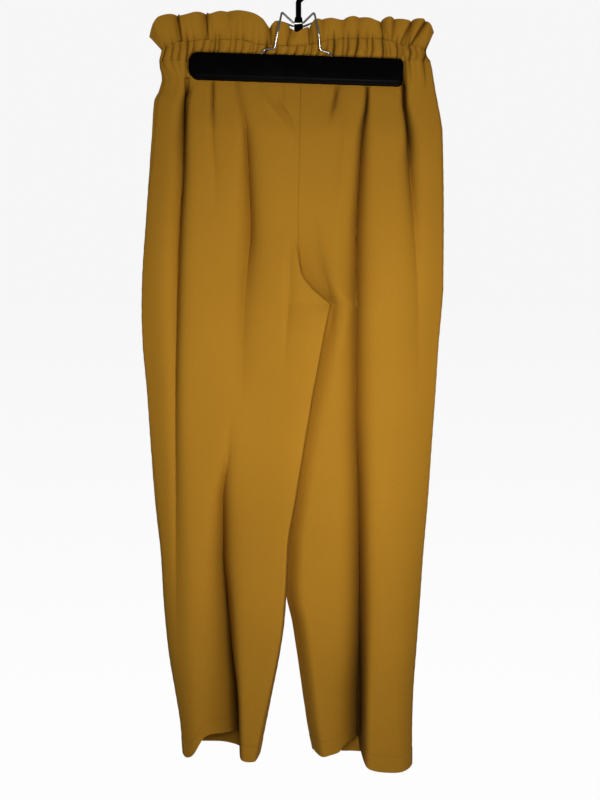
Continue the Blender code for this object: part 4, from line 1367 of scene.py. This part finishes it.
def build_bar(name, side):
    """One clamp bar: a flat face with a moulded bevel along its foot, on a round-edged body."""
    edge = hanger_settings().bar_edge / MM
    levels = [
        (0.0, edge * 0.5, edge * 0.5, edge * 0.5),
        (edge * 0.5, 0.0, 0.0, 0.0),
    ]
    for step in range(5):
        angle = 0.5 * math.pi * step / 4
        inset = edge * (1.0 - math.cos(angle))
        out = BAR_THICKNESS - edge + edge * math.sin(angle) * 0.55
        levels.append((out, inset, inset, inset))
    levels.append((BAR_THICKNESS - 0.30 * edge, edge * 1.3, edge * 2.6, edge * 1.3))
    levels.append((BAR_THICKNESS - 0.10 * edge, edge * 1.5, edge * 3.0, edge * 1.5))
    levels.append((BAR_THICKNESS, edge * 1.8, edge * 3.5, edge * 1.8))
    rings = [
        [(x, side * (BAR_INNER_FACE + out), z) for x, z in bar_outline(top, bottom, ends)]
        for out, top, bottom, ends in levels
    ]
    cos_tilt, sin_tilt = math.cos(BAR_TILT), math.sin(BAR_TILT)
    turned = []
    for ring in rings:
        turned.append([
            ((x * cos_tilt + z * sin_tilt + BAR_CENTRE_X) * MM, y * MM,
             (z * cos_tilt - x * sin_tilt - BAR_CENTRE_DROP) * MM)
            for x, y, z in ring
        ])
    mesh = ring_mesh(name, turned)
    mark_sharp(mesh, 40.0)
    piece = add_piece(name + "_moulding", mesh, finish("black moulding"))
    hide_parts(name)


def face_outwards(mesh):
    """Turn a closed mesh's faces so that they all point out of it."""
    shape = bmesh.new()
    shape.from_mesh(mesh)
    bmesh.ops.recalc_face_normals(shape, faces=shape.faces)
    if shape.calc_volume(signed=True) < 0.0:
        bmesh.ops.reverse_faces(shape, faces=shape.faces)
    shape.to_mesh(mesh)
    shape.free()


def ring_mesh(name, rings):
    """A closed mesh through rings of points in metres, with a flat cap on the first and last."""
    count = len(rings[0])
    faces = []
    for k in range(len(rings) - 1):
        for i in range(count):
            j = (i + 1) % count
            faces.append((k * count + i, k * count + j, (k + 1) * count + j, (k + 1) * count + i))
    faces.append(tuple(range(count))[::-1])
    faces.append(tuple((len(rings) - 1) * count + i for i in range(count)))
    mesh = bpy.data.meshes.new(name)
    mesh.from_pydata([tuple(point) for ring in rings for point in ring], [], faces)
    face_outwards(mesh)
    mesh.shade_smooth()
    return mesh


def mark_sharp(mesh, degrees):
    mesh.set_sharp_from_angle(angle=math.radians(degrees))


def rounded_path(corners, radius, steps):
    """The corners joined by straight runs, each bend replaced by a round one."""
    path = [corners[0]]
    for before, corner, after in zip(corners, corners[1:], corners[2:]):
        reach = min(radius, 0.45 * (corner - before).length, 0.45 * (after - corner).length)
        start = corner + (before - corner).normalized() * reach
        end = corner + (after - corner).normalized() * reach
        for step in range(steps + 1):
            t = step / steps
            path.append(start * (1 - t) ** 2 + corner * 2 * t * (1 - t) + end * t * t)
    path.append(corners[-1])
    return path


DOME_SHARES = (0.5, 0.85)     # heights of the rings in a rod's domed end


def round_rod(name, points, radii, sides, material):
    """A round rod along a path, with a domed end at each end of it."""
    count = len(points)
    tangents = []
    for i in range(count):
        ahead = points[min(i + 1, count - 1)]
        behind = points[max(i - 1, 0)]
        tangents.append((ahead - behind).normalized())
    side = tangents[0].orthogonal().normalized()
    rings = []
    for point, tangent, radius in zip(points, tangents, radii):
        side = (side - tangent * side.dot(tangent)).normalized()
        other = tangent.cross(side)
        rings.append([
            point + side * radius * math.cos(2 * math.pi * k / sides)
            + other * radius * math.sin(2 * math.pi * k / sides)
            for k in range(sides)
        ])
    ends = []
    for ring, point, way in (
        (rings[0], points[0], -tangents[0] * radii[0]),
        (rings[-1], points[-1], tangents[-1] * radii[-1]),
    ):
        ends.append([
            [point + way * share * 0.5 + (p - point) * math.sqrt(1.0 - share * share) for p in ring]
            for share in DOME_SHARES
        ])
    head, tail = ends
    rings = head[::-1] + rings + tail
    mesh = ring_mesh(name, [[p * MM for p in ring] for ring in rings])
    return add_piece(name, mesh, material)


def build_wire(name, side):
    """A spring wire from the bar up, over and down the other side, past the swivel block."""
    diameter = hanger_settings().wire_diameter / MM
    bar_y = side * (BAR_INNER_FACE + 0.5 * BAR_THICKNESS)
    loop_y = side * 20.0
    block_y = side * (0.5 * BLOCK_DEPTH + 0.5 * diameter + SEAM_GAP)
    left_x, right_x = -45.0, 41.0
    left_foot = -bar_top_drop(left_x) + 0.9
    right_foot = -bar_top_drop(right_x) + 0.9
    corners = [
        Vector((left_x, bar_y, left_foot)),
        Vector((left_x, bar_y, left_foot + 3.0)),
        Vector((-41.5, bar_y, -108.0)),
        Vector((-29.0, side * 12.0, -108.0)),
        Vector((-24.5, loop_y, -88.0)),
        Vector((-20.0, side * 16.0, -64.0)),
        Vector((-5.0, block_y, -74.0)),
        Vector((6.0, block_y, -74.0)),
        Vector((20.0, side * 16.0, -64.5)),
        Vector((25.5, loop_y, -90.0)),
        Vector((27.5, side * 12.0, -109.5)),
        Vector((38.5, bar_y, -112.0)),
        Vector((right_x, bar_y, right_foot + 2.5)),
        Vector((right_x, bar_y, right_foot)),
    ]
    path = rounded_path(corners, 3.0, 7)
    radii = [0.5 * diameter] * len(path)
    rod = round_rod(name + "_spring", path, radii, 16, finish("bright steel"))
    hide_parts(name)


def build_block():
    """The block where the wires cross: a round-footed body with a collar for the stem."""
    half = 0.5 * BLOCK_WIDTH
    right_side = [(half * share, -BLOCK_TOP_DROP - fall) for share, fall in BLOCK_SHOULDER]
    left_side = [(-x, z) for x, z in reversed(right_side)]
    outline = left_side[-1:] + right_side
    steps = 16
    for step in range(steps + 1):
        angle = -math.pi * step / steps
        outline.append((half * math.cos(angle), -BLOCK_BOTTOM_DROP + half + half * math.sin(angle)))
    outline += left_side[:-1]
    centre = (0.0, -0.5 * (BLOCK_TOP_DROP + BLOCK_BOTTOM_DROP))
    half_depth = 0.5 * BLOCK_DEPTH
    levels = ((-half_depth, 0.84), (-half_depth + 0.4, 0.93), (-half_depth + 1.2, 1.0),
              (half_depth - 1.2, 1.0), (half_depth - 0.4, 0.93), (half_depth, 0.84))
    rings = []
    for y, share in levels:
        ring = []
        for x, z in outline:
            inset_x = centre[0] + (x - centre[0]) * share
            inset_z = centre[1] + (z - centre[1]) * (1.0 - (1.0 - share) * 0.5)
            ring.append(((HOOK_X + inset_x) * MM, y * MM, inset_z * MM))
        rings.append(ring)
    mesh = ring_mesh("swivel_block_moulding", rings)
    mark_sharp(mesh, 35.0)
    piece = add_piece("swivel_block_moulding", mesh, finish("black moulding"))
    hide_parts("swivel_block")


def build_hook():
    """The stem and its round hook, whose inside top is the origin."""
    radius = HOOK_INNER_RADIUS + 0.5 * HOOK_DIAMETER
    centre_z = -HOOK_INNER_RADIUS
    start_x = radius * math.cos(HOOK_FIRST_ANGLE)
    arc_start = Vector((start_x, 0.0, centre_z + radius * math.sin(HOOK_FIRST_ANGLE)))
    run_in = Vector((math.sin(HOOK_FIRST_ANGLE), 0.0, -math.cos(HOOK_FIRST_ANGLE)))
    control = arc_start + run_in * ((arc_start.x - HOOK_X) / -run_in.x)
    bend_start = Vector((HOOK_X, 0.0, control.z - 4.5))
    points = [Vector((HOOK_X, 0.0, -BLOCK_TOP_DROP + SEAM_GAP)), Vector((HOOK_X, 0.0, -58.0))]
    for step in range(13):
        t = step / 12
        points.append(bend_start * (1 - t) ** 2 + control * 2 * t * (1 - t) + arc_start * t * t)
    arc_steps = 56
    for step in range(1, arc_steps + 1):
        angle = between(HOOK_FIRST_ANGLE, HOOK_LAST_ANGLE, step / arc_steps)
        points.append(Vector((radius * math.cos(angle), 0.0, centre_z + radius * math.sin(angle))))
    radii = [0.5 * HOOK_DIAMETER] * len(points)
    hook = round_rod("hanger_hook_moulding", points, radii, 24, finish("black moulding"))
    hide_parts("hanger_hook")


class TROUSERS_OT_bars(bpy.types.Operator):
    """Make the two bars that clamp the waist"""

    bl_idname = "trousers.bars"
    bl_label = "Clamp Bars"

    def execute(self, context):
        build_bar("clamp_bar_front", -1.0)
        build_bar("clamp_bar_back", 1.0)
        return {"FINISHED"}


class TROUSERS_OT_wires(bpy.types.Operator):
    """Make the two spring wires"""

    bl_idname = "trousers.wires"
    bl_label = "Spring Wires"

    def execute(self, context):
        build_wire("clamp_wire_front", -1.0)
        build_wire("clamp_wire_back", 1.0)
        return {"FINISHED"}


class TROUSERS_OT_hook(bpy.types.Operator):
    """Make the swivel block and the hook"""

    bl_idname = "trousers.hook"
    bl_label = "Swivel and Hook"

    def execute(self, context):
        build_block()
        build_hook()
        return {"FINISHED"}


# ---------------------------------------------------------------------------- stage

SENSOR_LONG_SIDE = 36.0
VIEW_CENTRE = Vector((0.0025, 0.0, -0.5445))
FLOOR_GLOW = 0.5              # keeps the floor pale to the eye, and lights nothing


def add_area_light(name, place, target, size, power, colour):
    light = bpy.data.lights.new(name, "AREA")
    light.shape = "RECTANGLE"
    light.size, light.size_y = size
    light.energy = power
    light.color = colour
    thing = bpy.data.objects.new(name, light)
    thing.location = place
    thing.rotation_euler = (Vector(target) - Vector(place)).to_track_quat("-Z", "Y").to_euler()
    thing.visible_camera = False
    bpy.context.scene.collection.objects.link(thing)


def add_floor(drop):
    """A pale floor that fades out with the distance from the middle of the stage."""
    mesh = bpy.data.meshes.new("studio_floor")
    reach = 4.0
    signs = ((-1, -1), (1, -1), (1, 1), (-1, 1))
    corners = [(reach * x, reach * y, -drop) for x, y in signs]
    mesh.from_pydata(corners, [], [(0, 1, 2, 3)])
    tree = NodeTree("pale floor")
    place = tree.node("ShaderNodeTexCoord").outputs["Object"]
    flat = tree.node("ShaderNodeVectorMath", {"operation": "MULTIPLY"})
    tree.feed(flat.inputs[0], place)
    flat.inputs[1].default_value = (1.0, 1.0, 0.0)
    far = tree.node("ShaderNodeVectorMath", {"operation": "LENGTH"})
    tree.feed(far.inputs[0], flat.outputs[0])
    tree.shader.inputs["Base Color"].default_value = (0.90, 0.90, 0.90, 1.0)
    tree.shader.inputs["Roughness"].default_value = 0.9
    tree.feed(tree.shader.inputs["Alpha"], tree.ramp(far.outputs["Value"], 1.0, 0.0, 0.25, 0.72))
    to_the_eye = tree.node("ShaderNodeLightPath").outputs["Is Camera Ray"]
    tree.shader.inputs["Emission Color"].default_value = (1.0, 1.0, 1.0, 1.0)
    tree.feed(tree.shader.inputs["Emission Strength"], tree.maths("MULTIPLY", to_the_eye, FLOOR_GLOW))
    mesh.materials.append(tree.material)
    floor = bpy.data.objects.new("studio_floor", mesh)
    bpy.context.scene.collection.objects.link(floor)


def light_room(strength):
    """White all round for the eye, and a softer even light for the object."""
    world = bpy.data.worlds.new("pale studio")
    bpy.context.scene.world = world
    world.use_nodes = True
    tree = world.node_tree
    tree.nodes.clear()
    seen = tree.nodes.new("ShaderNodeBackground")
    sky = tree.nodes.new("ShaderNodeTexCoord")
    parts = tree.nodes.new("ShaderNodeSeparateXYZ")
    shade = tree.nodes.new("ShaderNodeMapRange")
    for key, value in zip(("From Min", "From Max", "To Min", "To Max"), (-0.3, 0.1, 0.982, 0.925)):
        shade.inputs[key].default_value = value
    tree.links.new(sky.outputs["Generated"], parts.inputs[0])
    tree.links.new(parts.outputs["Z"], shade.inputs["Value"])
    tree.links.new(shade.outputs["Result"], seen.inputs["Color"])
    lit = tree.nodes.new("ShaderNodeBackground")
    lit.inputs["Color"].default_value = (1.0, 1.0, 1.0, 1.0)
    lit.inputs["Strength"].default_value = strength
    path = tree.nodes.new("ShaderNodeLightPath")
    mix = tree.nodes.new("ShaderNodeMixShader")
    output = tree.nodes.new("ShaderNodeOutputWorld")
    tree.links.new(path.outputs["Is Camera Ray"], mix.inputs[0])
    tree.links.new(lit.outputs[0], mix.inputs[1])
    tree.links.new(seen.outputs[0], mix.inputs[2])
    tree.links.new(mix.outputs[0], output.inputs["Surface"])


class TROUSERS_OT_stage(bpy.types.Operator):
    """Set the camera, the lights and the floor"""

    bl_idname = "trousers.stage"
    bl_label = "Stage"

    def execute(self, context):
        settings = stage_settings()
        camera = bpy.data.cameras.new("camera")
        camera.sensor_width = SENSOR_LONG_SIDE
        camera.lens = SENSOR_LONG_SIDE * settings.camera_distance / settings.view_height
        holder = bpy.data.objects.new("camera", camera)
        holder.location = VIEW_CENTRE + Vector((0.0, -settings.camera_distance, 0.0))
        holder.rotation_euler = (math.radians(90.0), 0.0, 0.0)
        context.scene.collection.objects.link(holder)
        context.scene.camera = holder
        context.scene.view_settings.view_transform = "Standard"
        add_area_light(
            "key_light", (0.11, -0.66, -0.515), (0.02, 0.0, -0.515), (0.34, 0.34),
            settings.key_power, (1.0, 0.985, 0.96),
        )
        add_area_light(
            "fill_light", (-1.1, -1.2, -0.35), (0.0, 0.0, -0.5), (0.9, 1.2),
            settings.fill_power, (0.96, 0.98, 1.0),
        )
        add_area_light(
            "back_light", (-0.12, 1.1, -0.42), (0.0, 0.0, -0.5), (0.5, 0.5),
            settings.back_power, (1.0, 0.985, 0.96),
        )
        for name, x in (("left_rim_light", -1.3), ("right_rim_light", 1.3)):
            add_area_light(
                name, (x, 0.6, -0.35), (0.0, 0.0, -0.5), (0.8, 1.2),
                0.25 * settings.back_power, (1.0, 1.0, 1.0),
            )
        light_room(settings.room_light)
        add_floor(settings.floor_drop)
        return {"FINISHED"}


# ---------------------------------------------------------------------------- add-on


class TROUSERS_PT_sidebar(bpy.types.Panel):
    """Lists the pieces in the sidebar"""

    bl_idname = "TROUSERS_PT_sidebar"
    bl_label = "Paperbag Waist Trousers"
    bl_space_type = "VIEW_3D"
    bl_region_type = "UI"
    bl_category = "Trousers"

    def draw(self, context):
        layout = self.layout
        for operator in OPERATORS:
            layout.operator(operator.bl_idname)
        for group in ("trousers_cloth", "trousers_hanger", "trousers_stage"):
            settings = getattr(context.scene, group)
            box = layout.box()
            for name in settings.bl_rna.properties.keys():
                if name not in ("rna_type", "name"):
                    box.prop(settings, name)


OPERATORS = (
    TROUSERS_OT_stage, TROUSERS_OT_panels, TROUSERS_OT_casings, TROUSERS_OT_frills,
    TROUSERS_OT_stitching, TROUSERS_OT_bars, TROUSERS_OT_wires, TROUSERS_OT_hook,
)
CLASSES = (TrousersCloth, TrousersHanger, TrousersStage) + OPERATORS + (TROUSERS_PT_sidebar,)


def register():
    for each in CLASSES:
        bpy.utils.register_class(each)
    bpy.types.Scene.trousers_cloth = bpy.props.PointerProperty(type=TrousersCloth)
    bpy.types.Scene.trousers_hanger = bpy.props.PointerProperty(type=TrousersHanger)
    bpy.types.Scene.trousers_stage = bpy.props.PointerProperty(type=TrousersStage)


def unregister():
    del bpy.types.Scene.trousers_stage
    del bpy.types.Scene.trousers_hanger
    del bpy.types.Scene.trousers_cloth
    for each in reversed(CLASSES):
        bpy.utils.unregister_class(each)


def main():
    register()
    bpy.ops.trousers.stage()
    bpy.ops.trousers.panels()
    bpy.ops.trousers.casings()
    bpy.ops.trousers.frills()
    bpy.ops.trousers.stitching()
    bpy.ops.trousers.bars()
    bpy.ops.trousers.wires()
    bpy.ops.trousers.hook()


if __name__ == "__main__":
    main()
